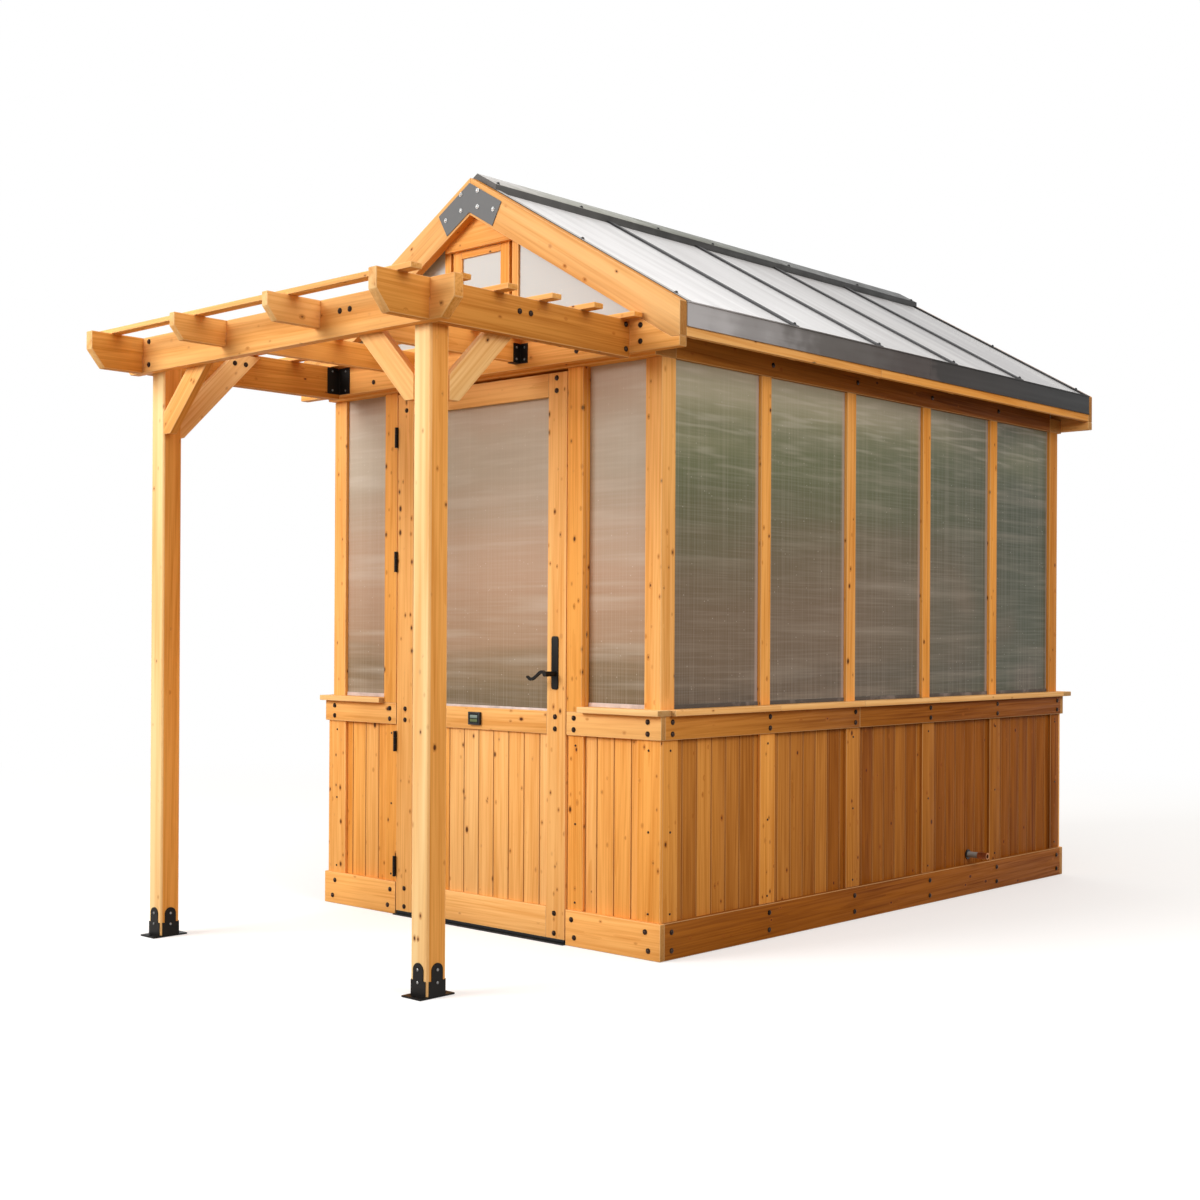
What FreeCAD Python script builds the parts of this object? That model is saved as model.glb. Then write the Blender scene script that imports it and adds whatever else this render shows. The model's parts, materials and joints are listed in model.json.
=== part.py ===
import FreeCAD, Part
import math
import os

# Cedar greenhouse with a pergola porch, in millimetres.
# X runs along the front, Y runs back from the front face, Z is up.
# The origin is on the ground, in the middle of the front wall's outer face.

V = FreeCAD.Vector

# House, overall
width = 1760.0
depth = 2800.0
wall_height = 1992.0
roof_pitch = 30.0
eave_overhang = 110.0
bay_count = 5
rear_bay_count = 3

# Wall framing
post = 72.0
stud = 58.0
stud_depth = 45.0
plate_thickness = 60.0
side_plate_thickness = 36.0
seat_cut = 18.0

# Knee wall
trim = 22.0
batten_shy = 10.0
skirt_height = 123.0
rail_bottom = 725.0
rail_height = 80.0
sill_thickness = 20.0
sill_overhang = 26.0
sill_end = 6.5
joint_offset = 30.0
corner_lap = 4.0
front_corner_lap = 20.0
stud_lap = 15.0
board = 12.0
board_groove = 3.0
board_lift = 15.0
board_width = 78.0

# Glazing
pane = 6.0
pane_recess = 13.0
pane_gap = 2.0
channel_height = 14.0
channel_wall = 3.0

# Gable ends and roof
header_lift = 10.0
header_height = 110.0
header_thickness = 36.0
header_proud = 48.0
seat_height = 33.0
seat_length = 34.0
rake_width = 117.0
roof_drop = 10.0
rafter_width = 36.0
rafter_depth = 100.0
ridge_thickness = 36.0
ridge_depth = 130.0
fascia_thickness = 22.0
fascia_height = 101.0
fascia_joint = 1130.0
flashing = 3.0
flashing_height = 82.0
flashing_lip = 4.0
flashing_joint = 1465.0
bar_width = 24.0
bar_height = 8.0
cap_half = 98.0
cap_drop = 27.0
cap_rise = 56.0
cap_sheet = 2.0
rake_trim_width = 24.0
rake_trim_height = 7.0
gusset_thickness = 3.0
gusset_length = 191.0
gusset_width = 92.0
gusset_inset = 17.0
peak_board = 20.0
peak_board_half = 172.0
peak_board_height = 230.0
gable_frame = 22.0
inner_stile = 46.0
inner_stile_start = 102.0
outer_stile = 32.0
stile_gap = 14.0
gable_rail = 26.0

# Pergola
porch_reach = 925.0
tail_length = 201.0
beam_below_wall = 6.0
beam_height = 124.0
front_beam_thickness = 36.0
front_beam_overhang = 123.0
joist_thickness = 28.0
joist_height = 87.0
side_beam_half = 759.0
side_beam_thickness = 36.0
joist_half = 251.0
beam_chamfer_run = 58.0
beam_chamfer_rise = 55.0
tail_chamfer_run = 50.0
joist_chamfer_run = 36.0
porch_post = 76.0
post_edge = 6.0
slat_count = 6
slat_overhang = 76.0
slat_width = 42.0
slat_thickness = 17.0
slat_front = 78.0
slat_rear = 3.0
brace_thickness = 28.0
brace_drop = 218.0
brace_seat = 40.0
brace_heel = 75.0
brace_top_gap = 12.0
bracket_sheet = 3.0
bracket_leg = 62.0
bracket_margin = 3.0
hanger_leg = 36.0
hanger_rise = 66.0
base_plate = 5.0
base_width = 84.0
base_length = 136.0
anchor_radius = 6.0
anchor_spacing = 109.0
strap_sheet = 3.0
strap_top = 102.0
strap_shoulder = 50.0
strap_width = 44.0

# Door
door_half = 446.0
door_thickness = 36.0
door_bottom = 16.0
door_head_gap = 10.0
stile_width = 90.0
top_rail = 82.0
bottom_rail = 107.0
door_board = 14.0
pane_bite = 8.0
sweep_gap = 6.0
sweep_inset = 3.0
threshold_height = 4.0
threshold_front = 12.0
stop_width = 12.0
stop_gap = 2.0
head_stop = 24.0

# Hinges, each with three knuckles
hinge_from_foot = 168.0
hinge_below_rail = 64.0
hinge_above_rail = 540.0
hinge_from_head = 163.0
hinge_length = 78.0
knuckle_radius = 6.0
pin_radius = 2.5
pin_clearance = 0.1
knuckle_gap = 0.4
knuckle_stand = 1.0
leaf_sheet = 1.8
leaf_play = 0.4
leaf_depth = 30.0
leaf_clear = 1.0

# Lever set and latch
lever_from_edge = 50.0
lever_z = 935.0
lock_plate_width = 31.0
lock_plate_below = 54.0
lock_plate_above = 131.0
lock_plate_thickness = 4.0
lever_boss_radius = 9.0
lever_standoff = 40.0
lever_depth = 10.0
lever_path = ((0.0, 0.0), (17.0, 7.0), (42.0, -7.0), (68.0, -19.0), (85.0, -11.0))
lever_half_widths = (7.0, 5.5, 5.0, 5.0, 4.0)
lever_gap = 0.5
spindle = 8.0
spindle_clearance = 1.3
latch_reach = 28.0
latch_height = 20.0
latch_depth = 14.0
latch_proud = 1.5
latch_travel = 11.0
latch_play = 0.5
strike_sheet = 1.5
strike_height = 90.0
strike_depth = 26.0

# Thermometer on the door's middle rail
gauge_x = -5.0
gauge_width = 60.0
gauge_height = 47.0
gauge_depth = 12.0
gauge_frame = 7.0
display_depth = 1.0

# Bolts
bolt_radius = 9.0
bolt_flange = 2.0
bolt_dome = 4.5
bolt_shank = 4.0
bolt_length = 26.0
wall_bolt_length = 50.0
post_bolt_length = 60.0
bolt_rim = 1.0
skirt_bolt_edge = 31.0
skirt_bolt_stagger = 7.0
rail_bolt_edge = 20.0
door_bolt_edge = 19.0
door_bolt_inset = 49.5
beam_bolt_low = 26.0
beam_bolt_high = 107.0
brace_bolt_rise = 78.0
brace_bolt_spread = 24.0
beam_end_bolt = 20.0
header_bolt_low = 33.0
header_bolt_high = 86.0
header_bolt_inset = 167.0
jamb_bolt_offset = 49.0
gusset_bolt_radius = 8.0
gusset_bolt_places = ((44.0, 55.0), (43.0, 113.0), (125.0, 136.0))

# Hose connection in the right wall
hose_from_stud = 205.0
hose_rise = 40.0
hose_radius = 12.0
hose_bore = 9.0
hose_inside = 60.0
hose_outside = 52.0
hose_flange_radius = 20.0
hose_flange_thickness = 5.0
fitting_radius = 13.5
fitting_length = 42.0

# Derived positions
half = width / 2.0
face = half - trim
slope = math.tan(math.radians(roof_pitch))
pitch_cos = math.cos(math.radians(roof_pitch))
pitch_sin = math.sin(math.radians(roof_pitch))
roof_half = half + eave_overhang
plate_top = wall_height + plate_thickness
sill_bottom = rail_bottom + rail_height
sill_top = sill_bottom + sill_thickness
front_post_line = trim + post / 2.0
rear_post_line = depth - front_post_line
bay = (rear_post_line - front_post_line) / bay_count
stud_lines = [front_post_line + bay * i for i in range(1, bay_count)]
rear_bay = 2.0 * (face - post / 2.0) / rear_bay_count
rear_stud_lines = [post / 2.0 - face + rear_bay * i for i in range(1, rear_bay_count)]
corner_batten = trim + post + corner_lap
stud_batten = stud + 2.0 * stud_lap
pane_front = trim + pane_recess
sill_inner = pane_front + pane + channel_wall
door_gap = 2.0 * leaf_sheet + leaf_play
jamb_inner = door_half + door_gap
jamb_outer = jamb_inner + post
header_bottom = wall_height + header_lift
header_front = -header_proud
header_back = header_front + header_thickness
rear_header_front = depth - header_back
beam_bottom = wall_height - beam_below_wall
beam_top = beam_bottom + beam_height
joist_bottom = beam_top - joist_height
brace_foot = beam_bottom - brace_drop
front_beam_half = side_beam_half + front_beam_overhang
slat_half = side_beam_half + slat_overhang
front_beam_back = front_beam_thickness - porch_reach
side_beam_inner = side_beam_half - side_beam_thickness / 2.0
side_beam_outer = side_beam_half + side_beam_thickness / 2.0
porch_post_inner = side_beam_inner - porch_post
porch_post_back = front_beam_back + porch_post
slab_low = roof_drop / pitch_cos
slab_high = (roof_drop - pane) / pitch_cos
end_rafter_line = header_back + peak_board + gable_frame + rafter_width / 2.0
rafter_lines = [end_rafter_line] + stud_lines + [depth - end_rafter_line]
rafter_drop = (roof_drop + rafter_depth) / pitch_cos
door_top = wall_height - door_head_gap
stile_inner = door_half - stile_width
hinge_x = -(door_half + door_gap / 2.0)
hinge_y = -(knuckle_radius + knuckle_stand)
hinge_heights = (door_bottom + hinge_from_foot, rail_bottom - hinge_below_rail,
                 sill_bottom + hinge_above_rail, door_top - hinge_from_head)
lever_x = door_half - lever_from_edge
lever_start = -(lock_plate_thickness + lever_gap)
spindle_hole_radius = spindle / math.sqrt(2.0) + spindle_clearance
latch_back = door_half - latch_reach
latch_middle = door_thickness / 2.0
hose_y = stud_lines[-1] - hose_from_stud
hose_z = skirt_height + hose_rise


def box(x0, x1, y0, y1, z0, z1):
    return Part.makeBox(x1 - x0, y1 - y0, z1 - z0, V(x0, y0, z0))


def prism(points, direction):
    wire = Part.makePolygon(points + points[:1])
    return Part.Face(wire).extrude(direction)


def prism_xz(points, y0, y1):
    return prism([V(x, y0, z) for x, z in points], V(0, y1 - y0, 0))


def prism_yz(points, x0, x1):
    return prism([V(x0, y, z) for y, z in points], V(x1 - x0, 0, 0))


def prism_xy(points, z0, z1):
    return prism([V(x, y, z0) for x, y in points], V(0, 0, z1 - z0))


def rod(start, direction, radius, length):
    return Part.makeCylinder(radius, length, start, direction)


def other_side(shape):
    return shape.mirror(V(0, 0, 0), V(1, 0, 0))


def other_end(shape):
    return shape.mirror(V(0, depth / 2.0, 0), V(0, 1, 0))


def both_sides(shapes):
    return shapes + [other_side(s) for s in shapes]


def both_ends(shapes):
    return shapes + [other_end(s) for s in shapes]


def save(node, solids):
    Part.makeCompound(solids).exportStep("parts/" + node + ".step")


def rake_low(x):
    return header_bottom + seat_height + (roof_half - seat_length - x) * slope


def rake_top(x):
    return rake_low(x) + rake_width / pitch_cos


def slab(x0, x1, low, high, y0, y1):
    """A plumb-ended strip that follows the right-hand roof slope, set by drops below the rake's top."""
    points = [(x0, rake_top(x0) - low), (x1, rake_top(x1) - low),
              (x1, rake_top(x1) - high), (x0, rake_top(x0) - high)]
    return prism_xz(points, y0, y1)


def skirt_boards():
    front = box(jamb_inner, half, 0, trim, 0, skirt_height)
    side = box(face, half, trim, depth - trim, 0, skirt_height)
    rear = box(-half, half, depth - trim, depth, 0, skirt_height)
    return both_sides([front, side]) + [rear]


def knee_rails():
    front = box(jamb_inner, half, 0, trim, rail_bottom, sill_bottom)
    ends = [trim, stud_lines[1] + joint_offset, depth - trim]
    sides = [box(face, half, a, b, rail_bottom, sill_bottom) for a, b in zip(ends, ends[1:])]
    rear = box(-half, half, depth - trim, depth, rail_bottom, sill_bottom)
    return both_sides([front] + sides) + [rear]


def corner_posts():
    return both_ends(both_sides([box(face - post, face, trim, trim + post, 0, wall_height)]))


def side_stud(y):
    return box(face - stud_depth, face, y - stud / 2.0, y + stud / 2.0, 0, wall_height)


def wall_studs():
    sides = both_sides([side_stud(y) for y in stud_lines])
    y0, y1 = depth - trim - stud_depth, depth - trim
    w = stud / 2.0
    rear = [box(x - w, x + w, y0, y1, 0, wall_height) for x in rear_stud_lines]
    return sides + rear


def door_jambs():
    return both_sides([box(jamb_inner, jamb_outer, trim, trim + post, 0, wall_height)])


def sill_caps():
    timbers = Part.makeCompound(corner_posts() + wall_studs() + door_jambs())
    reach, outer = sill_inner, half + sill_overhang
    front = box(jamb_outer, half + sill_end, -sill_overhang, reach, sill_bottom, sill_top)
    ends = [reach] + [y + joint_offset for y in stud_lines[:3]] + [depth - reach]
    sides = [box(half - reach, outer, a, b, sill_bottom, sill_top) for a, b in zip(ends, ends[1:])]
    rear = box(-outer, outer, depth - reach, depth + sill_overhang, sill_bottom, sill_top)
    return [s.cut(timbers) for s in both_sides([front] + sides) + [rear]]


def board_strip(run, width_, low, high):
    """One wall board on edge at the front face: its outer corners are eased to leave a V at each joint."""
    g = board_groove
    y = trim
    points = [(run + g, y), (run + width_ - g, y), (run + width_, y + g), (run + width_, y + board),
              (run, y + board), (run, y + g)]
    return prism_xy(points, low, high)


def board_runs(start, end):
    """Where each board of a row starts, and its width: full boards, and an equal cut board at both ends."""
    full = int((end - start) // board_width) - 1
    cut = (end - start - full * board_width) / 2.0
    widths = [cut] + [board_width] * full + [cut]
    return [(start + sum(widths[:i]), w) for i, w in enumerate(widths)]


def board_row(start, end):
    return [board_strip(run, w, board_lift, sill_bottom) for run, w in board_runs(start, end)]


def clear_runs(lines):
    """The clear run of each bay: the first and last lines are posts, and the others are studs."""
    halves = [post / 2.0] + [stud / 2.0] * (len(lines) - 2) + [post / 2.0]
    starts = [line + w for line, w in zip(lines, halves)]
    ends = [line - w for line, w in zip(lines, halves)]
    return list(zip(starts, ends[1:]))


def rear_bays():
    return clear_runs([post / 2.0 - face] + rear_stud_lines + [face - post / 2.0])


def side_bays():
    return clear_runs([front_post_line] + stud_lines + [rear_post_line])


def front_wall_boards():
    return both_sides(board_row(jamb_outer, face - post))


def turned_to_right(shape):
    """Carry a board from the front wall to the right wall, so that its X becomes Y."""
    turned = shape.copy()
    turned.rotate(V(0, 0, 0), V(0, 0, 1), 90.0)
    turned.translate(V(half, 0, 0))
    return turned


def side_wall_boards():
    boards = []
    for a, b in side_bays():
        boards += board_row(a, b)
    right = [turned_to_right(b) for b in boards]
    left = [other_side(b) for b in right]
    hole = rod(V(half, hose_y, hose_z), V(-1, 0, 0), hose_radius, hose_inside + trim)
    return [b.cut(hole) for b in right] + left


def rear_wall_boards():
    boards = []
    for a, b in rear_bays():
        boards += board_row(a, b)
    return [other_end(b) for b in boards]


def wall_battens():
    low, high = skirt_height, rail_bottom
    corner = box(face - post - front_corner_lap, half - batten_shy, batten_shy, trim, low, high)
    jamb = box(jamb_inner, jamb_outer, batten_shy, trim, low, high)
    side_corner = box(face, half - batten_shy, trim, corner_batten, low, high)
    w = stud_batten / 2.0
    studs = [box(face, half - batten_shy, y - w, y + w, low, high) for y in stud_lines]
    rear = [box(x - w, x + w, depth - trim, depth - batten_shy, low, high) for x in rear_stud_lines]
    ends = [corner, other_end(corner), side_corner, other_end(side_corner)]
    return both_sides(ends + [jamb] + studs) + rear


def door_casings():
    return both_sides([box(jamb_inner, jamb_outer, 0, trim, sill_bottom, wall_height)])


def door_stops():
    y0 = door_thickness + stop_gap
    y1 = y0 + stop_width
    x = jamb_inner - stop_width
    side = box(x, jamb_inner, y0, y1, threshold_height, wall_height)
    head = box(-x, x, y0, y1, wall_height - head_stop, wall_height)
    return both_sides([side]) + [head]


def top_plates():
    end = box(-face, face, header_back, trim + post, wall_height, plate_top)
    top = rake_top(face) - rafter_drop + seat_cut
    side = box(face - side_plate_thickness, face, trim + post, depth - trim - post, wall_height, top)
    return both_ends([end]) + both_sides([side])


def front_pane(x0, x1):
    y = pane_front
    return box(x0 + pane_gap, x1 - pane_gap, y, y + pane, sill_top + channel_wall, wall_height)


def channel(x0, x1):
    y0, y1 = pane_front - channel_wall, sill_inner
    outer = box(x0 + pane_gap, x1 - pane_gap, y0, y1, sill_top, sill_top + channel_height)
    return outer.cut(front_pane(x0, x1))


def front_bays():
    return [(jamb_outer, face - post)]


def around_walls(make):
    """The same piece in every glazed bay: sides first, then the two ends."""
    right = [turned_to_right(make(a, b)) for a, b in side_bays()]
    front = both_sides([make(a, b) for a, b in front_bays()])
    rear = [other_end(make(a, b)) for a, b in rear_bays()]
    return both_sides(right), front + rear


def gable_headers():
    x_top = roof_half - seat_length - (header_height - seat_height) / slope
    right = [(roof_half, header_bottom), (roof_half, header_bottom + seat_height),
             (roof_half - seat_length, header_bottom + seat_height), (x_top, header_bottom + header_height)]
    left = [(-x, z) for x, z in reversed(right)]
    return both_ends([prism_xz(right + left, header_front, header_back)])


def rake_boards():
    seat = header_bottom + seat_height
    points = [(0, rake_low(0)), (0, rake_top(0)), (roof_half, rake_top(roof_half)),
              (roof_half, seat), (roof_half - seat_length, seat)]
    return both_ends(both_sides([prism_xz(points, header_front, header_back)]))


def gusset_outline():
    top = rake_top(0) - gusset_inset / pitch_cos
    notch = top - gusset_width / pitch_cos
    right = (gusset_length * pitch_cos, top - gusset_length * pitch_sin)
    low = (right[0] - gusset_width * pitch_sin, right[1] - gusset_width * pitch_cos)
    return [(0, top), right, low, (0, notch), (-low[0], low[1]), (-right[0], right[1])]


def gable_gussets():
    plate = prism_xz(gusset_outline(), header_front - gusset_thickness, header_front)
    return both_ends([plate])


def under_roof(x):
    return rake_top(x) - slab_low - pane_gap


def gable_stile(x0, x1):
    y = header_back + peak_board
    points = [(x0, plate_top), (x1, plate_top), (x1, under_roof(x1)), (x0, under_roof(x0))]
    return prism_xz(points, y, y + gable_frame)


def outer_stile_start():
    return inner_stile_start + inner_stile + stile_gap


def gable_frames():
    y = header_back + peak_board
    inner = gable_stile(inner_stile_start, inner_stile_start + inner_stile)
    outer = gable_stile(outer_stile_start(), outer_stile_start() + outer_stile)
    top = under_roof(0) - peak_board_height
    rail = box(-inner_stile_start, inner_stile_start, y, y + gable_frame, top - gable_rail, top)
    return both_ends(both_sides([inner, outer]) + [rail])


def peak_boards():
    x = peak_board_half
    low = under_roof(0) - peak_board_height
    points = [(-x, low), (x, low), (x, under_roof(x)), (0, under_roof(0)), (-x, under_roof(x))]
    return both_ends([prism_xz(points, header_back, header_back + peak_board)])


def gable_panes():
    y0 = header_back + peak_board + (gable_frame - pane) / 2.0
    y1 = y0 + pane
    x0 = inner_stile_start
    top = under_roof(0) - peak_board_height - gable_rail
    middle = box(-x0, x0, y0, y1, plate_top, top)
    a = outer_stile_start() + outer_stile
    b = face - side_plate_thickness - pane_gap
    points = [(a, plate_top), (b, plate_top), (b, under_roof(b)), (a, under_roof(a))]
    return both_ends([middle] + both_sides([prism_xz(points, y0, y1)]))


def ridge_beam():
    x = ridge_thickness / 2.0
    top = rake_top(x) - slab_low
    y = header_back + peak_board + gable_frame
    return [box(-x, x, y, depth - y, top - ridge_depth, top)]


def rafters():
    x0, x1 = ridge_thickness / 2.0, roof_half - fascia_thickness
    plates = Part.makeCompound(top_plates())
    w = rafter_width / 2.0
    strips = [slab(x0, x1, rafter_drop, slab_low, y - w, y + w) for y in rafter_lines]
    return both_sides([s.cut(plates) for s in strips])


def fascia_top():
    return rake_top(roof_half) - slab_low


def fascia_boards():
    z = fascia_top()
    x = roof_half - fascia_thickness
    ends = [header_back, fascia_joint, rear_header_front]
    return both_sides([box(x, roof_half, a, b, z - fascia_height, z) for a, b in zip(ends, ends[1:])])


def eave_flashings():
    x0, x1 = roof_half, roof_half + flashing
    x2 = x1 + flashing_lip
    top = rake_top(roof_half)
    low = top - flashing_height
    lip = flashing_lip
    points = [(x0, low), (x2, low), (x2, low + lip), (x1, low + lip), (x1, top - lip), (x2, top - lip),
              (x2, top), (x0, top)]
    ends = [header_back, flashing_joint, rear_header_front]
    return both_sides([prism_xz(points, a, b) for a, b in zip(ends, ends[1:])])


def roof_panels():
    edges = [header_back] + stud_lines + [rear_header_front]
    inner = ridge_thickness / 2.0
    panels = []
    for a, b in zip(edges, edges[1:]):
        panels.append(slab(inner, roof_half, slab_low, slab_high, a + pane_gap, b - pane_gap))
    return both_sides(panels)


def glazing_bars():
    high = slab_high - bar_height / pitch_cos
    w = bar_width / 2.0
    return both_sides([slab(cap_half, roof_half, slab_high, high, y - w, y + w) for y in stud_lines])


def rake_trims():
    high = slab_high - rake_trim_height / pitch_cos
    strip = slab(cap_half, roof_half, slab_high, high, header_back, header_back + rake_trim_width)
    return both_ends(both_sides([strip]))


def ridge_cap():
    """A folded cap that stands on the roof panels by its two flanges and its closed ends."""
    t = cap_sheet
    low = rake_top(cap_half - t) - slab_high
    edge = low + cap_drop
    top = edge + cap_rise
    outer = [(-cap_half, low), (-cap_half, edge), (0, top), (cap_half, edge), (cap_half, low),
             (cap_half - t, low), (0, rake_top(0) - slab_high), (t - cap_half, low)]
    inner = [(t - cap_half, low), (t - cap_half, edge - t), (0, top - t), (cap_half - t, edge - t),
             (cap_half - t, low)]
    shell = prism_xz(outer, header_back, rear_header_front)
    return [shell.cut(prism_xz(inner, header_back + t, rear_header_front - t))]


def joist(x, thickness, bottom, chamfer):
    """A porch joist with a chamfered tail, half lapped over the front beam."""
    tail = -porch_reach - tail_length
    middle = (bottom + beam_top) / 2.0
    points = [(tail, beam_top), (header_front, beam_top), (header_front, bottom),
              (tail + chamfer, bottom), (tail, middle)]
    w = thickness / 2.0
    timber = prism_yz(points, x - w, x + w)
    lap = box(x - w, x + w, -porch_reach, front_beam_back, bottom, middle)
    return timber.cut(lap)


def pergola_side_beams():
    return both_sides([joist(side_beam_half, side_beam_thickness, beam_bottom, tail_chamfer_run)])


def pergola_rafters():
    return both_sides([joist(joist_half, joist_thickness, joist_bottom, joist_chamfer_run)])


def pergola_front_beam():
    x = front_beam_half
    chamfer_z = beam_bottom + beam_chamfer_rise
    right = [(x - beam_chamfer_run, beam_bottom), (x, chamfer_z), (x, beam_top)]
    left = [(-a, z) for a, z in reversed(right)]
    beam = prism_xz(right + left, -porch_reach, front_beam_back)
    joists = Part.makeCompound(pergola_side_beams() + pergola_rafters())
    return [beam.cut(joists)]


def pergola_posts():
    x0, x1 = porch_post_inner, side_beam_inner
    y0, y1 = front_beam_back, porch_post_back
    e = post_edge
    points = [(x0 + e, y0), (x1 - e, y0), (x1, y0 + e), (x1, y1 - e), (x1 - e, y1), (x0 + e, y1),
              (x0, y1 - e), (x0, y0 + e)]
    return both_sides([prism_xy(points, base_plate, beam_top)])


def post_strap():
    """A strap on the post's front: as wide as the post's flat at its foot, with a round-topped tongue."""
    foot = porch_post / 2.0 - post_edge
    w = strap_width / 2.0
    rise = [(foot, base_plate), (foot, strap_shoulder), (w, strap_shoulder), (w, strap_top - w)]
    left = [V(-x, 0, z) for x, z in rise]
    right = [V(x, 0, z) for x, z in reversed(rise)]
    edges = [Part.makeLine(a, b) for a, b in zip(left, left[1:])]
    edges.append(Part.Arc(left[-1], V(0, 0, strap_top), right[0]).toShape())
    edges += [Part.makeLine(a, b) for a, b in zip(right, right[1:])]
    edges.append(Part.makeLine(right[-1], left[0]))
    strap = Part.Face(Part.Wire(edges)).extrude(V(0, -strap_sheet, 0))
    strap.translate(V(0, -porch_post / 2.0, 0))
    return strap


def post_bases():
    w, d = base_width / 2.0, base_length / 2.0
    base = box(-w, w, -d, d, 0, base_plate)
    for turn in (0.0, 90.0, 180.0, 270.0):
        strap = post_strap()
        strap.rotate(V(0, 0, 0), V(0, 0, 1), turn)
        base = base.fuse(strap)
    base = base.removeSplitter()
    for y in (-anchor_spacing / 2.0, anchor_spacing / 2.0):
        base = base.cut(rod(V(0, y, 0), V(0, 0, 1), anchor_radius, base_plate))
    base.translate(V(side_beam_inner - porch_post / 2.0, front_beam_back + porch_post / 2.0, 0))
    return both_sides([base])


def slat_lines():
    first = -porch_reach - tail_length + slat_front + slat_width / 2.0
    last = header_front - slat_rear - slat_width / 2.0
    return [first + (last - first) * i / (slat_count - 1) for i in range(slat_count)]


def pergola_slats():
    w = slat_width / 2.0
    high = beam_top + slat_thickness
    return [box(-slat_half, slat_half, y - w, y + w, beam_top, high) for y in slat_lines()]


def brace_points():
    """Outline of a knee brace: reach from the post's face, and height."""
    rise = beam_top - brace_top_gap - brace_foot
    return [(0, brace_foot), (brace_seat, brace_foot), (brace_seat + rise, brace_foot + rise),
            (rise - brace_heel, brace_foot + rise), (0, brace_foot + brace_heel)]


def pergola_braces():
    across = [(porch_post_inner - s, z) for s, z in brace_points()]
    back = [(porch_post_back + s, z) for s, z in brace_points()]
    front = prism_xz(across, front_beam_back, front_beam_back + brace_thickness)
    side = prism_yz(back, side_beam_inner - brace_thickness, side_beam_inner)
    return both_sides([front, side])


def angle_bracket(x, inward, leg, low, high):
    """Steel angle in the corner between a joist's side at x and the gable header."""
    x_sheet = sorted((x, x + inward * bracket_sheet))
    x_leg = sorted((x, x + inward * leg))
    y = header_front
    on_joist = box(x_sheet[0], x_sheet[1], y - leg, y, low, high)
    on_header = box(x_leg[0], x_leg[1], y - bracket_sheet, y, low, high)
    return on_joist.fuse(on_header).removeSplitter()


def joist_hanger():
    """Angle beside an inner joist, with a seat folded under it."""
    w = joist_thickness / 2.0
    low = joist_bottom - bracket_sheet
    angle = angle_bracket(joist_half + w, 1, hanger_leg, low, joist_bottom + hanger_rise)
    seat = box(joist_half - w, joist_half + w + bracket_sheet, header_front - hanger_leg, header_front,
               low, joist_bottom)
    return angle.fuse(seat).removeSplitter()


def pergola_brackets():
    corner = angle_bracket(side_beam_inner, -1, bracket_leg, header_bottom + bracket_margin,
                           beam_top - bracket_margin)
    return both_sides([corner, joist_hanger()])


def threshold():
    return [box(-jamb_inner, jamb_inner, -threshold_front, trim + post, 0, threshold_height)]


def door_pane():
    y = (door_thickness - pane) / 2.0
    x = stile_inner + pane_bite
    return box(-x, x, y, y + pane, sill_bottom - pane_bite, door_top - top_rail + pane_bite)


def latch_bolt():
    y, d = latch_middle, latch_depth / 2.0
    h = latch_height / 2.0
    return [box(latch_back, door_half + latch_proud, y - d, y + d, lever_z - h, lever_z + h)]


def latch_pocket():
    y, d = latch_middle, latch_depth / 2.0 + latch_play
    h = latch_height / 2.0 + latch_play
    back = latch_back - latch_travel - latch_play
    return box(back, door_half, y - d, y + d, lever_z - h, lever_z + h)


def door_stiles():
    left = box(-door_half, -stile_inner, 0, door_thickness, door_bottom, door_top)
    right = other_side(left)
    hole = rod(V(lever_x, 0, lever_z), V(0, 1, 0), spindle_hole_radius, door_thickness)
    right = right.cut(hole).cut(latch_pocket())
    return [left.cut(door_pane()), right.cut(door_pane())]


def rail_spans():
    bottom = (door_bottom, door_bottom + bottom_rail)
    return [bottom, (rail_bottom, sill_bottom), (door_top - top_rail, door_top)]


def door_rails():
    x = stile_inner
    return [box(-x, x, 0, door_thickness, a, b).cut(door_pane()) for a, b in rail_spans()]


def door_boards():
    y = (door_thickness - door_board) / 2.0
    g = board_groove
    boards = []
    for x, step in board_runs(-stile_inner, stile_inner):
        points = [(x + g, y), (x + step - g, y), (x + step, y + g), (x + step, y + door_board),
                  (x, y + door_board), (x, y + g)]
        boards.append(prism_xy(points, door_bottom + bottom_rail, rail_bottom))
    return boards


def door_sweep():
    x, y = door_half - sweep_inset, sweep_inset
    return [box(-x, x, y, door_thickness - y, sweep_gap, door_bottom)]


def knuckle(z0, z1, bore):
    start, up = V(hinge_x, hinge_y, z0), V(0, 0, 1)
    return rod(start, up, knuckle_radius, z1 - z0).cut(rod(start, up, bore, z1 - z0))


def hinge_third(z, part, bore, leaf):
    """One third of a hinge's height: its knuckle, and the leaf that runs back into the door gap."""
    third = hinge_length / 3.0
    z0 = z - hinge_length / 2.0 + third * part + knuckle_gap / 2.0
    z1 = z0 + third - knuckle_gap
    x0, x1 = leaf
    flap = box(x0, x1, hinge_y + pin_radius + leaf_clear, leaf_depth, z0, z1)
    return knuckle(z0, z1, bore).fuse(flap)


def frame_hinge_leaves():
    leaf = (-jamb_inner, leaf_sheet - jamb_inner)
    leaves = []
    for z in hinge_heights:
        h = hinge_length / 2.0
        flap = box(leaf[0], leaf[1], knuckle_radius, leaf_depth, z - h, z + h)
        low = hinge_third(z, 0, pin_radius, leaf)
        high = hinge_third(z, 2, pin_radius, leaf)
        leaves.append(low.fuse(high).fuse(flap).removeSplitter())
    return leaves


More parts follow.
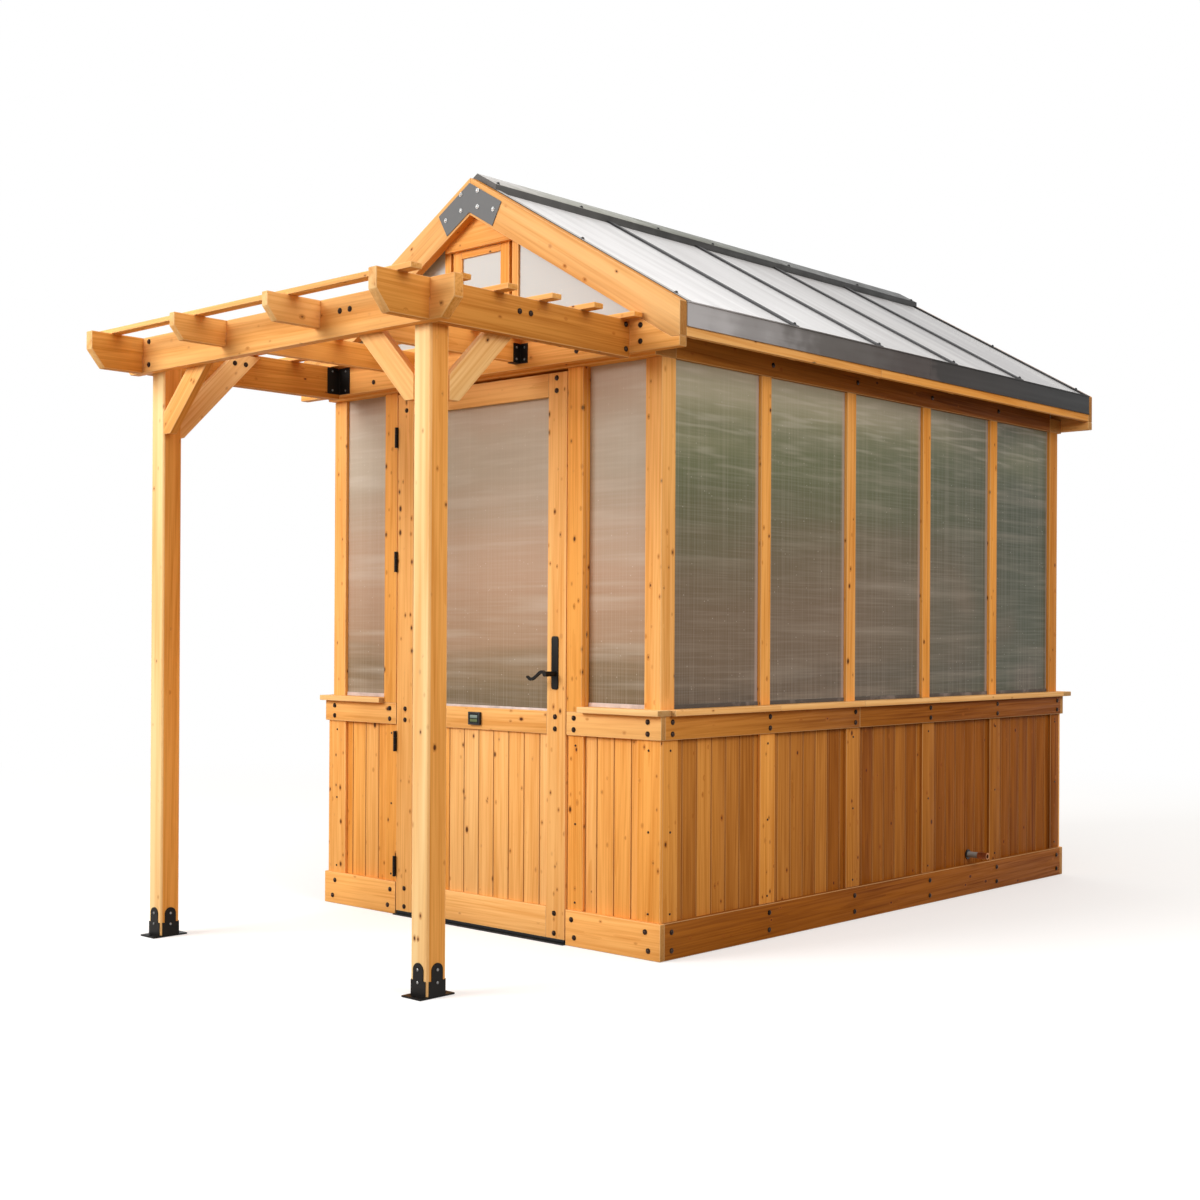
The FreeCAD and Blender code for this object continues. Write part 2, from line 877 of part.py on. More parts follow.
def door_hinge_leaves():
    leaf = (-door_half - leaf_sheet, -door_half)
    leaves = []
    for z in hinge_heights:
        h = hinge_length / 2.0
        flap = box(leaf[0], leaf[1], knuckle_radius, leaf_depth, z - h, z + h)
        leaves.append(hinge_third(z, 1, pin_radius + pin_clearance, leaf).fuse(flap).removeSplitter())
    return leaves


def hinge_pins():
    h = hinge_length / 2.0
    return [rod(V(hinge_x, hinge_y, z - h), V(0, 0, 1), pin_radius, hinge_length) for z in hinge_heights]


def lock_plates():
    w = lock_plate_width / 2.0
    x0, x1 = lever_x - w, lever_x + w
    low, high = lever_z - lock_plate_below, lever_z + lock_plate_above
    front = box(x0, x1, -lock_plate_thickness, 0, low, high)
    back = front.mirror(V(0, door_thickness / 2.0, 0), V(0, 1, 0))
    hole = rod(V(lever_x, -lock_plate_thickness, lever_z), V(0, 1, 0), spindle_hole_radius,
               door_thickness + 2.0 * lock_plate_thickness)
    return [front.cut(hole), back.cut(hole)]


def lever_outline():
    """S-shaped lever from its boss to a rolled tip, as upper and lower curves."""
    points = list(zip(lever_path, lever_half_widths))
    upper = [V(lever_x - x, 0, lever_z + z + w) for (x, z), w in points]
    lower = [V(lever_x - x, 0, lever_z + z - w) for (x, z), w in points]
    top, low = Part.BSplineCurve(), Part.BSplineCurve()
    top.interpolate(upper)
    low.interpolate(lower)
    tip = V(upper[-1].x - lever_half_widths[-1], 0, (upper[-1].z + lower[-1].z) / 2.0)
    nose = Part.Arc(upper[-1], tip, lower[-1]).toShape()
    heel = Part.makeLine(lower[0], upper[0])
    return Part.Face(Part.Wire([top.toShape(), nose, low.toShape(), heel]))


def door_levers():
    centre = V(lever_x, lever_start, lever_z)
    boss = rod(centre, V(0, -1, 0), lever_boss_radius, lever_standoff + lever_depth)
    blade = lever_outline().extrude(V(0, -lever_depth, 0))
    blade.translate(V(0, lever_start - lever_standoff, 0))
    outer = boss.fuse(blade).removeSplitter()
    inner = outer.mirror(V(0, door_thickness / 2.0, 0), V(0, 1, 0))
    return [outer.cut(lever_spindle()), inner.cut(lever_spindle()), lever_spindle()]


def lever_spindle():
    s = spindle / 2.0
    front = lever_start - lever_standoff / 2.0
    return box(lever_x - s, lever_x + s, front, door_thickness - front, lever_z - s, lever_z + s)


def strike_plate():
    y, d = latch_middle, strike_depth / 2.0
    h = strike_height / 2.0
    plate = box(jamb_inner - strike_sheet, jamb_inner, y - d, y + d, lever_z - h, lever_z + h)
    slot_d, slot_h = latch_depth / 2.0 + latch_play, latch_height / 2.0 + latch_play
    slot = box(jamb_inner - strike_sheet, jamb_inner, y - slot_d, y + slot_d,
               lever_z - slot_h, lever_z + slot_h)
    return [plate.cut(slot)]


def gauge_box(margin, y0, y1):
    w, h = gauge_width / 2.0 - margin, gauge_height / 2.0 - margin
    z = rail_bottom + rail_height / 2.0
    return box(gauge_x - w, gauge_x + w, y0, y1, z - h, z + h)


def thermometer_display():
    return gauge_box(gauge_frame, -gauge_depth, display_depth - gauge_depth)


def thermometer_case():
    return gauge_box(0, -gauge_depth, 0).cut(thermometer_display())


def bolt(place, direction, length, radius=bolt_radius):
    """Round-headed bolt: a shank that runs into the timber, a thin flange and a domed head."""
    cap = radius - bolt_rim
    ball = (cap ** 2 + bolt_dome ** 2) / (2.0 * bolt_dome)
    centre = bolt_flange + bolt_dome - ball
    low = math.degrees(math.asin((bolt_flange - centre) / ball))
    up = V(0, 0, 1)
    shank = rod(V(0, 0, -length), up, bolt_shank, length)
    flange = rod(V(0, 0, 0), up, radius, bolt_flange)
    dome = Part.makeSphere(ball, V(0, 0, centre), up, low, 90.0, 360.0)
    solid = shank.fuse([flange, dome]).removeSplitter()
    solid.Placement = FreeCAD.Placement(place, FreeCAD.Rotation(up, direction))
    return solid


def front_bolt(x, y, z, length, radius=bolt_radius):
    return bolt(V(x, y, z), V(0, -1, 0), length, radius)


def right_bolt(x, y, z, length):
    return bolt(V(x, y, z), V(1, 0, 0), length)


def wall_bolts():
    """Pairs on the skirt and the knee rail at every post, stud and jamb, and one in each side plate."""
    skirt_z = (skirt_bolt_edge, skirt_height - skirt_bolt_edge)
    rail_z = (rail_bottom + rail_bolt_edge, sill_bottom - rail_bolt_edge)
    shift = (skirt_bolt_stagger, -skirt_bolt_stagger)
    post_x = face - post / 2.0
    long = wall_bolt_length
    bolts = []
    for x in (jamb_inner + post / 2.0, post_x):
        bolts += [front_bolt(x, 0, z, long) for z in rail_z]
        bolts += [front_bolt(x + s, 0, z, long) for s, z in zip(shift, skirt_z)]
    for x in (post_x, rear_stud_lines[-1]):
        bolts += [other_end(front_bolt(x, 0, z, long)) for z in skirt_z + rail_z]
    for y in [front_post_line] + stud_lines + [rear_post_line]:
        bolts += [right_bolt(half, y, z, long) for z in skirt_z + rail_z]
    plate_z = header_bottom + header_bolt_low
    bolts += [right_bolt(face, y + post / 2.0, plate_z, bolt_length) for y in stud_lines]
    return both_sides(bolts)


def brace_bolt_reach():
    return brace_bolt_rise + brace_drop - (brace_heel - brace_seat) / 2.0


def porch_bolts():
    """Bolts through the porch beams into the posts and braces, and through the gable header."""
    y_front, x_side = -porch_reach, side_beam_outer
    post_x, post_y = porch_post_inner + porch_post / 2.0, front_beam_back + porch_post / 2.0
    pair = (beam_bottom + beam_bolt_low, beam_bottom + beam_bolt_high)
    brace_z = beam_bottom + brace_bolt_rise
    brace_x = porch_post_inner - brace_bolt_reach()
    brace_y = porch_post_back + brace_bolt_reach()
    spread = (-brace_bolt_spread, brace_bolt_spread)
    through = side_beam_thickness + brace_thickness / 2.0
    bolts = [front_bolt(post_x, y_front, z, post_bolt_length) for z in pair]
    bolts += [right_bolt(x_side, post_y, z, post_bolt_length) for z in pair]
    bolts += [front_bolt(brace_x + s, y_front, brace_z, post_bolt_length) for s in spread]
    for s in spread:
        inside = V(side_beam_inner - brace_thickness, brace_y + s, brace_z)
        bolts += [right_bolt(x_side, brace_y + s, brace_z, through)]
        bolts += [bolt(inside, V(-1, 0, 0), brace_thickness / 2.0)]
    header_x = roof_half - header_bolt_inset
    jamb_x = jamb_outer - post / 2.0 + jamb_bolt_offset
    low, high = header_bottom + header_bolt_low, header_bottom + header_bolt_high
    bolts += [front_bolt(x, header_front, low, post_bolt_length) for x in (jamb_x, header_x)]
    bolts += [front_bolt(header_x, header_front, high, bolt_length)]
    bolts += [right_bolt(x_side, header_front - beam_end_bolt, z, bolt_length) for z in pair]
    return both_sides(bolts)


def gusset_bolts():
    y = header_front - gusset_thickness
    top = rake_top(0)
    places = [(x, top - drop) for x, drop in gusset_bolt_places]
    bolts = [front_bolt(x, y, z, bolt_length, gusset_bolt_radius) for x, z in places]
    return both_ends(both_sides(bolts))


def door_bolts():
    x = door_half - door_bolt_inset
    levels = []
    for low, high in rail_spans():
        levels += [low + door_bolt_edge, high - door_bolt_edge]
    return both_sides([front_bolt(x, 0, z, bolt_length) for z in levels])


def hose_pipe():
    start = V(face - hose_inside, hose_y, hose_z)
    length = hose_inside + hose_outside
    along = V(1, 0, 0)
    return rod(start, along, hose_radius, length).cut(rod(start, along, hose_bore, length))


def hose_flange():
    start, along = V(face, hose_y, hose_z), V(1, 0, 0)
    disc = rod(start, along, hose_flange_radius, hose_flange_thickness)
    return disc.cut(rod(start, along, hose_radius, hose_flange_thickness))


def hose_fitting():
    start, along = V(face + hose_outside, hose_y, hose_z), V(1, 0, 0)
    tube = rod(start, along, fitting_radius, fitting_length)
    return tube.cut(rod(start, along, hose_bore, fitting_length))


def build():
    side_panes, end_panes = around_walls(front_pane)
    side_channels, end_channels = around_walls(channel)
    nodes = {
        "skirt_boards": skirt_boards(), "knee_rails": knee_rails(), "sill_caps": sill_caps(),
        "front_wall_boards": front_wall_boards(), "side_wall_boards": side_wall_boards(),
        "rear_wall_boards": rear_wall_boards(), "wall_battens": wall_battens(),
        "corner_posts": corner_posts(), "wall_studs": wall_studs(), "door_jambs": door_jambs(),
        "door_casings": door_casings(), "door_stops": door_stops(), "top_plates": top_plates(),
        "side_wall_panes": side_panes, "end_wall_panes": end_panes,
        "pane_channels": side_channels + end_channels,
        "gable_headers": gable_headers(), "rake_boards": rake_boards(), "gable_gussets": gable_gussets(),
        "gable_frames": gable_frames(), "peak_boards": peak_boards(), "gable_panes": gable_panes(),
        "ridge_beam": ridge_beam(), "rafters": rafters(), "fascia_boards": fascia_boards(),
        "eave_flashings": eave_flashings(), "roof_panels": roof_panels(), "glazing_bars": glazing_bars(),
        "rake_trims": rake_trims(), "ridge_cap": ridge_cap(),
        "pergola_posts": pergola_posts(), "post_bases": post_bases(),
        "pergola_front_beam": pergola_front_beam(), "pergola_side_beams": pergola_side_beams(),
        "pergola_rafters": pergola_rafters(), "pergola_slats": pergola_slats(),
        "pergola_braces": pergola_braces(), "pergola_brackets": pergola_brackets(),
        "threshold": threshold(), "frame_hinge_leaves": frame_hinge_leaves(), "hinge_pins": hinge_pins(),
        "strike_plate": strike_plate(), "wall_bolts": wall_bolts(), "porch_bolts": porch_bolts(),
        "gusset_bolts": gusset_bolts(), "hose_pipe": [hose_pipe()], "hose_flange": [hose_flange()],
        "hose_fitting": [hose_fitting()],
        "door_stiles": door_stiles(), "door_rails": door_rails(), "door_pane": [door_pane()],
        "door_boards": door_boards(), "door_sweep": door_sweep(), "door_hinge_leaves": door_hinge_leaves(),
        "door_bolts": door_bolts(), "lock_plates": lock_plates(),
        "thermometer_case": [thermometer_case()], "thermometer_display": [thermometer_display()],
        "door_levers": door_levers(), "latch_bolt": latch_bolt(),
    }
    os.makedirs("parts", exist_ok=True)
    for node, solids in nodes.items():
        save(node, solids)
    print(len(nodes), "nodes,", sum(len(s) for s in nodes.values()), "solids")


build()
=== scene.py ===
import json
import math
import random

import bpy
from mathutils import Matrix, Vector

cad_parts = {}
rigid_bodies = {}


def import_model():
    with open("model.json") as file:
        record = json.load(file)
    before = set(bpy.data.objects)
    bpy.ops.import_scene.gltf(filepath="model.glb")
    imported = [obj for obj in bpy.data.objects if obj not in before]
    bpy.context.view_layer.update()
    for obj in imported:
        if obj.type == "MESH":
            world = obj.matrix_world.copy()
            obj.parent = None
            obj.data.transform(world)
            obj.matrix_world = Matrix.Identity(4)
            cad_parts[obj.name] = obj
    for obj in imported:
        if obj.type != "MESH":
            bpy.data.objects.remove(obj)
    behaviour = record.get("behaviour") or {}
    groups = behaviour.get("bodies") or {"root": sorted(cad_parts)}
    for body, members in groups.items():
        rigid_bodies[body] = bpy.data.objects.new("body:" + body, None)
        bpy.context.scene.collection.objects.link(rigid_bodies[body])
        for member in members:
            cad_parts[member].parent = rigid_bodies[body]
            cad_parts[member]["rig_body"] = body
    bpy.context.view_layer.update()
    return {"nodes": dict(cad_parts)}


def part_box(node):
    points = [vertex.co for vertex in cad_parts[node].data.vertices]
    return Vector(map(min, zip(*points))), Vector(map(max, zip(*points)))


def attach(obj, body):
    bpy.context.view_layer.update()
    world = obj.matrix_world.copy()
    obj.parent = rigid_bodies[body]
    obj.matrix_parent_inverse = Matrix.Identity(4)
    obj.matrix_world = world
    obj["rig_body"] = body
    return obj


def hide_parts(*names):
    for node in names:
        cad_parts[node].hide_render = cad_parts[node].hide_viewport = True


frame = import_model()

# Cedar greenhouse with a pergola porch. Metres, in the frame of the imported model:
# X runs along the front, Y runs back from the front wall, Z is up.

HOUSE_MIDDLE = Vector((0.0, 1.4, 1.0))
HOUSE_DEPTH = 2.8
# Spacing of the side wall's posts and studs, and the line of its first post.
BAY = 0.5368
FIRST_POST = 0.058
# A face or a board counts as facing a way when this much of its normal points there.
SQUARE_ON = 0.9
# Corners closer than this are one corner, and faces this near to one plane are one face.
SAME_CORNER = 0.00001
SAME_PLANE = math.radians(0.5)
# Painted shade: boards that face the sides get deeper towards the back, by this much of the tone for each
# metre.
SIDE_SHADE_DEEPENING = 0.14


def linear(hex_colour):
    """Turn an sRGB hex colour into the linear colour that shaders use."""
    parts = [int(hex_colour[i:i + 2], 16) / 255.0 for i in (1, 3, 5)]
    return tuple(p / 12.92 if p <= 0.04045 else ((p + 0.055) / 1.055) ** 2.4 for p in parts) + (1.0,)


def add_node(tree, kind, inputs=None, stops=None, **settings):
    """Add one shader node, with its settings, its colour stops, its fixed inputs and its links."""
    # A number names an input by its place. On Mix, 0 is the share, and 6 and 7 are the two colours. On
    # MapRange, 0 is the value, 1 and 2 are the range it comes from, and 3 and 4 the range it goes to.
    node = tree.nodes.new("ShaderNode" + kind)
    for name, value in settings.items():
        setattr(node, name, value)
    if stops:
        node.color_ramp.interpolation = "EASE"
        marks = node.color_ramp.elements
        marks.remove(marks[1])
        marks[0].position = stops[0][0]
        marks[0].color = linear(stops[0][1])
        for place, colour in stops[1:]:
            marks.new(place).color = linear(colour)
    for socket, value in (inputs or {}).items():
        if isinstance(value, bpy.types.NodeSocket):
            tree.links.new(value, node.inputs[socket])
        else:
            node.inputs[socket].default_value = value
    return node


def new_finish(name):
    """An empty node material, ready for its own nodes."""
    finish = bpy.data.materials.new(name)
    finish.use_nodes = True
    finish.node_tree.nodes.clear()
    return finish, finish.node_tree


def stained_cedar():
    """Planed, stained cedar: streaks and fibre along the grain, small dark knots, stain in the V joints."""
    cedar, tree = new_finish("stained_cedar")
    grain = add_node(tree, "Attribute", attribute_name="grain").outputs["Vector"]
    tone, arris, end, painted_front_light, knotty = [add_node(tree, "Attribute", attribute_name=name).outputs["Fac"]
                                        for name in ("tone", "arris", "end", "painted_front_light", "knotty")]

    # Pin knots 3 to 13 mm across, in cells of 36 mm, longer along the grain; how many cells have one
    # depends on how knotty the wood is.
    knot_place = add_node(tree, "Mapping", {"Vector": grain, "Scale": (18.0, 28.0, 28.0)}).outputs[0]
    cell = add_node(tree, "TexVoronoi", {"Vector": knot_place, "Scale": 1.0})
    lot = add_node(tree, "SeparateColor", {"Color": cell.outputs["Color"]})
    there = add_node(tree, "Math", {0: lot.outputs["Red"], 1: knotty}, operation="LESS_THAN").outputs[0]
    few = add_node(tree, "Math", {0: lot.outputs["Green"], 1: 3.0}, operation="POWER").outputs[0]
    size = add_node(tree, "Math", {0: few, 1: 0.14, 2: 1.045}, operation="MULTIPLY_ADD")
    reach = add_node(tree, "Math", {0: there, 1: size.outputs[0], 2: -1.0}, operation="MULTIPLY_ADD")
    rim = add_node(tree, "Math", {0: cell.outputs["Distance"], 1: reach.outputs[0]}, operation="SUBTRACT")
    knot = add_node(tree, "MapRange", {0: rim.outputs[0], 1: 0.03, 2: -0.04},
                    interpolation_type="SMOOTHSTEP").outputs[0]
    halo = add_node(tree, "MapRange", {0: rim.outputs[0], 1: 0.17, 2: 0.0},
                    interpolation_type="SMOOTHSTEP").outputs[0]

    # Rings are 2 mm apart in the real wood; drawn 12 mm apart so that they show, bent round the knots.
    swell = add_node(tree, "VectorMath", {0: (0.0, 0.008, 0.008), "Scale": halo}, operation="SCALE")
    bent = add_node(tree, "VectorMath", {0: grain, 1: swell.outputs[0]}, operation="ADD").outputs[0]
    ring_place = add_node(tree, "Mapping", {"Vector": bent, "Scale": (0.10, 1.0, 1.0)}).outputs[0]
    rings = add_node(tree, "TexWave", {"Vector": ring_place, "Scale": 26.0, "Distortion": 5.0, "Detail": 3.0,
                                       "Detail Scale": 0.55}, wave_type="RINGS", rings_direction="X",
                     wave_profile="SAW").outputs["Fac"]
    late = add_node(tree, "MapRange", {0: rings, 1: 0.35, 2: 1.0}, interpolation_type="SMOOTHSTEP").outputs[0]

    # Fibre streaks, 6 mm wide and 300 mm long; broad stain streaks, 35 mm wide and 1 m long.
    fibre_place = add_node(tree, "Mapping", {"Vector": bent, "Scale": (3.2, 165.0, 165.0)}).outputs[0]
    fibre = add_node(tree, "TexNoise", {"Vector": fibre_place, "Scale": 1.0, "Detail": 3.0}).outputs["Fac"]
    streak_place = add_node(tree, "Mapping", {"Vector": bent, "Scale": (1.0, 28.0, 28.0)}).outputs[0]
    streak = add_node(tree, "TexNoise", {"Vector": streak_place, "Scale": 1.0, "Detail": 2.0}).outputs["Fac"]

    pale_stops = [(0.0, "#FACF92"), (0.5, "#F5AC54"), (1.0, "#9E5A12")]
    deep_stops = [(0.0, "#E6AA60"), (0.5, "#D5852E"), (1.0, "#6E3402")]
    pale = add_node(tree, "ValToRGB", {0: tone}, stops=pale_stops).outputs[0]
    deep = add_node(tree, "ValToRGB", {0: tone}, stops=deep_stops).outputs[0]
    fibre_part = add_node(tree, "MapRange", {0: fibre, 1: 0.36, 2: 0.72, 3: 0.0, 4: 0.6}).outputs[0]
    late_part = add_node(tree, "Math", {0: late, 1: 0.26, 2: fibre_part}, operation="MULTIPLY_ADD").outputs[0]
    streak_part = add_node(tree, "MapRange", {0: streak, 1: 0.35, 2: 0.75, 3: -0.2, 4: 0.42}).outputs[0]
    depth = add_node(tree, "Math", {0: late_part, 1: streak_part}, operation="ADD", use_clamp=True).outputs[0]
    wood = add_node(tree, "Mix", {0: depth, 6: pale, 7: deep}, data_type="RGBA").outputs[2]
    # Painted light: faces that look to the front are paler, less so where the streaks hold more stain.
    patchy = add_node(tree, "MapRange", {0: streak, 1: 0.36, 2: 0.66, 3: 1.3, 4: 0.45}).outputs[0]
    paler = add_node(tree, "Math", {0: painted_front_light, 1: patchy}, operation="MULTIPLY", use_clamp=True).outputs[0]
    wood = add_node(tree, "Mix", {0: paler, 6: wood, 7: linear("#FAD89E")}, data_type="RGBA").outputs[2]
    # Over the wood: rims of the knots, the knots, end grain, rubbed edges, and stain pooled in the V joints,
    # where the arris is below zero.
    for where, strength, colour in ((halo, 0.5, "#A8591D"), (knot, 0.92, "#43200C"), (end, 0.62, "#85613A"),
                                    (arris, 0.3, "#FBD49C"), (arris, -0.5, "#7E4312")):
        share = add_node(tree, "Math", {0: where, 1: strength}, operation="MULTIPLY", use_clamp=True)
        wood = add_node(tree, "Mix", {0: share.outputs[0], 6: wood, 7: linear(colour)},
                        data_type="RGBA").outputs[2]

    sheen = add_node(tree, "MapRange", {0: fibre, 1: 0.3, 2: 0.7, 3: 0.5, 4: 0.7}).outputs[0]
    sunk = add_node(tree, "Math", {0: depth, 1: -0.5, 2: fibre}, operation="MULTIPLY_ADD").outputs[0]
    # Grain relief of 0.4 mm, a little deeper than planed cedar, so that it shows.
    relief = add_node(tree, "Bump", {"Strength": 0.35, "Distance": 0.0004, "Height": sunk}).outputs[0]
    shader = add_node(tree, "BsdfPrincipled", {"Base Color": wood, "Roughness": sheen, "Normal": relief,
                                               "IOR": 1.5, "Specular IOR Level": 0.12})
    add_node(tree, "OutputMaterial", {"Surface": shader.outputs[0]})
    return cedar


def twin_wall_sheet(name, heights, stops, bands, foliage_reflection, bay_start):
    """Twin-wall polycarbonate: upright ribs, level bands and ripples, drops, and a tint that goes by height,
    a painted reflection of the garden.
    """
    sheet, tree = new_finish(name)
    place = add_node(tree, "TexCoord").outputs["Object"]
    axes = add_node(tree, "SeparateXYZ", {0: place})
    along = add_node(tree, "Math", {0: axes.outputs["X"], 1: axes.outputs["Y"]}, operation="ADD").outputs[0]
    flat = add_node(tree, "CombineXYZ", {"X": along, "Z": axes.outputs["Z"]}).outputs[0]
    # Clouds of half a metre, bands 150 mm tall, ripples 20 mm tall and 250 mm long, bands of light 60 mm tall
    # and 1 m long, and threads of light 8 mm wide, upright and level.
    drifts = []
    for scale, detail in (((1.9, 1.0, 2.4), 1.5), ((0.55, 1.0, 6.5), 1.5), ((4.0, 1.0, 48.0), 1.0),
                          ((1.0, 1.0, 17.0), 3.0), ((120.0, 1.0, 0.9), 3.0), ((3.0, 1.0, 130.0), 2.0)):
        spread = add_node(tree, "Mapping", {"Vector": flat, "Scale": scale}).outputs[0]
        drift = add_node(tree, "TexNoise", {"Vector": spread, "Scale": 1.0, "Detail": detail})
        drifts.append(drift.outputs["Fac"])
    cloud, band, ripple, gleam, thread, weft = drifts
    # The tint is a painted reflection of the garden; it goes by height, and its steps sit lower towards the
    # back of the house.
    level = add_node(tree, "MapRange", {0: axes.outputs["Z"], 1: heights[0], 2: heights[1], 3: -0.2, 4: 0.8},
                     clamp=False).outputs[0]
    back = add_node(tree, "MapRange", {0: axes.outputs["Y"], 1: 0.0, 2: HOUSE_DEPTH}).outputs[0]
    for drift, share in ((back, -0.14), (cloud, 0.1), (band, 0.26), (ripple, 0.05)):
        level = add_node(tree, "Math", {0: drift, 1: share, 2: level}, operation="MULTIPLY_ADD").outputs[0]
    tints = add_node(tree, "ValToRGB", {0: level}, stops=stops)
    tints.color_ramp.interpolation = "B_SPLINE"
    tint = tints.outputs[0]
    # A painted reflection of green leaves, stronger towards the back of the house.
    painted_foliage = add_node(tree, "MapRange", {0: cloud, 1: 0.2, 2: 0.52},
                     interpolation_type="SMOOTHSTEP").outputs[0]
    strong = add_node(tree, "MapRange", {0: back, 1: 0.4, 2: 0.86, 3: 0.0, 4: foliage_reflection}).outputs[0]
    painted_foliage = add_node(tree, "Math", {0: painted_foliage, 1: strong}, operation="MULTIPLY").outputs[0]
    tint = add_node(tree, "Mix", {0: painted_foliage, 6: tint, 7: linear("#2F3C20")}, data_type="RGBA").outputs[2]
    # Level bands of light.
    gleam = add_node(tree, "MapRange", {0: gleam, 1: 0.48, 2: 0.74, 3: 0.0, 4: bands},
                     interpolation_type="SMOOTHSTEP").outputs[0]
    tint = add_node(tree, "Mix", {0: gleam, 6: tint, 7: linear("#D6CABB")}, data_type="RGBA").outputs[2]
    # The ripples catch more light near the head of the panes.
    high = add_node(tree, "MapRange", {0: level, 1: 0.55, 2: 0.95, 3: 0.03, 4: 0.28},
                    interpolation_type="SMOOTHSTEP").outputs[0]
    shine = add_node(tree, "MapRange", {0: ripple, 1: 0.48, 2: 0.72},
                     interpolation_type="SMOOTHSTEP").outputs[0]
    shine = add_node(tree, "Math", {0: shine, 1: high}, operation="MULTIPLY").outputs[0]
    tint = add_node(tree, "Mix", {0: shine, 6: tint, 7: linear("#DCD4C8")}, data_type="RGBA").outputs[2]
    # Ribs are 6 mm apart in the real sheet; drawn 9.5 mm apart so that they show, with the threads of light
    # over them, both ways, like linen.
    run = add_node(tree, "CombineXYZ", {"X": along}).outputs[0]
    ribs = add_node(tree, "TexWave", {"Vector": run, "Scale": 33.0}, wave_profile="SIN").outputs["Fac"]
    upright = add_node(tree, "MapRange", {0: thread, 1: 0.46, 2: 0.74, 3: 0.0, 4: 0.12}).outputs[0]
    cross = add_node(tree, "MapRange", {0: weft, 1: 0.46, 2: 0.74, 3: 0.0, 4: 0.09}).outputs[0]
    linen = add_node(tree, "Math", {0: upright, 1: cross}, operation="ADD").outputs[0]
    web_part = add_node(tree, "Math", {0: ribs, 1: 0.045, 2: linen}, operation="MULTIPLY_ADD").outputs[0]
    tint = add_node(tree, "Mix", {0: web_part, 6: tint, 7: linear("#DDD2C4")}, data_type="RGBA").outputs[2]
    # Drops of condensation, 4 mm across and 22 mm apart; most places have none.
    bead = add_node(tree, "TexVoronoi", {"Vector": flat, "Scale": 45.0})
    lot = add_node(tree, "SeparateColor", {"Color": bead.outputs["Color"]}).outputs["Red"]
    there = add_node(tree, "Math", {0: lot, 1: 0.6}, operation="GREATER_THAN").outputs[0]
    drop = add_node(tree, "MapRange", {0: bead.outputs["Distance"], 1: 0.12, 2: 0.05, 3: 0.0, 4: 0.4})
    drop = add_node(tree, "Math", {0: drop.outputs[0], 1: there}, operation="MULTIPLY").outputs[0]
    tint = add_node(tree, "Mix", {0: drop, 6: tint, 7: linear("#F1ECE4")}, data_type="RGBA").outputs[2]
    if bay_start is not None:
        # The lit flank of the next stud shows as a pale strip in the last 18 mm of each pane.
        pane_end = BAY - 0.038
        strip_start = pane_end - 0.018
        in_bay = add_node(tree, "Math", {0: axes.outputs["Y"], 1: bay_start}, operation="SUBTRACT").outputs[0]
        in_bay = add_node(tree, "Math", {0: in_bay, 1: BAY}, operation="FLOORED_MODULO").outputs[0]
        strip = add_node(tree, "MapRange", {0: in_bay, 1: strip_start, 2: pane_end, 3: 0.0, 4: 0.6},
                         interpolation_type="SMOOTHSTEP").outputs[0]
        tint = add_node(tree, "Mix", {0: strip, 6: tint, 7: linear("#C4B2AC")}, data_type="RGBA").outputs[2]
    gloss = add_node(tree, "MapRange", {0: cloud, 1: 0.0, 2: 1.0, 3: 0.29, 4: 0.43}).outputs[0]
    # Rib and ripple relief of 0.5 mm.
    wavy = add_node(tree, "Math", {0: ripple, 1: 2.0, 2: ribs}, operation="MULTIPLY_ADD").outputs[0]
    relief = add_node(tree, "Bump", {"Strength": 0.12, "Distance": 0.0005, "Height": wavy}).outputs[0]
    shader = add_node(tree, "BsdfPrincipled", {"Base Color": tint, "Roughness": gloss, "Normal": relief,
                                               "IOR": 1.58, "Transmission Weight": 0.1,
                                               "Specular IOR Level": 0.2})
    add_node(tree, "OutputMaterial", {"Surface": shader.outputs[0]})
    return sheet


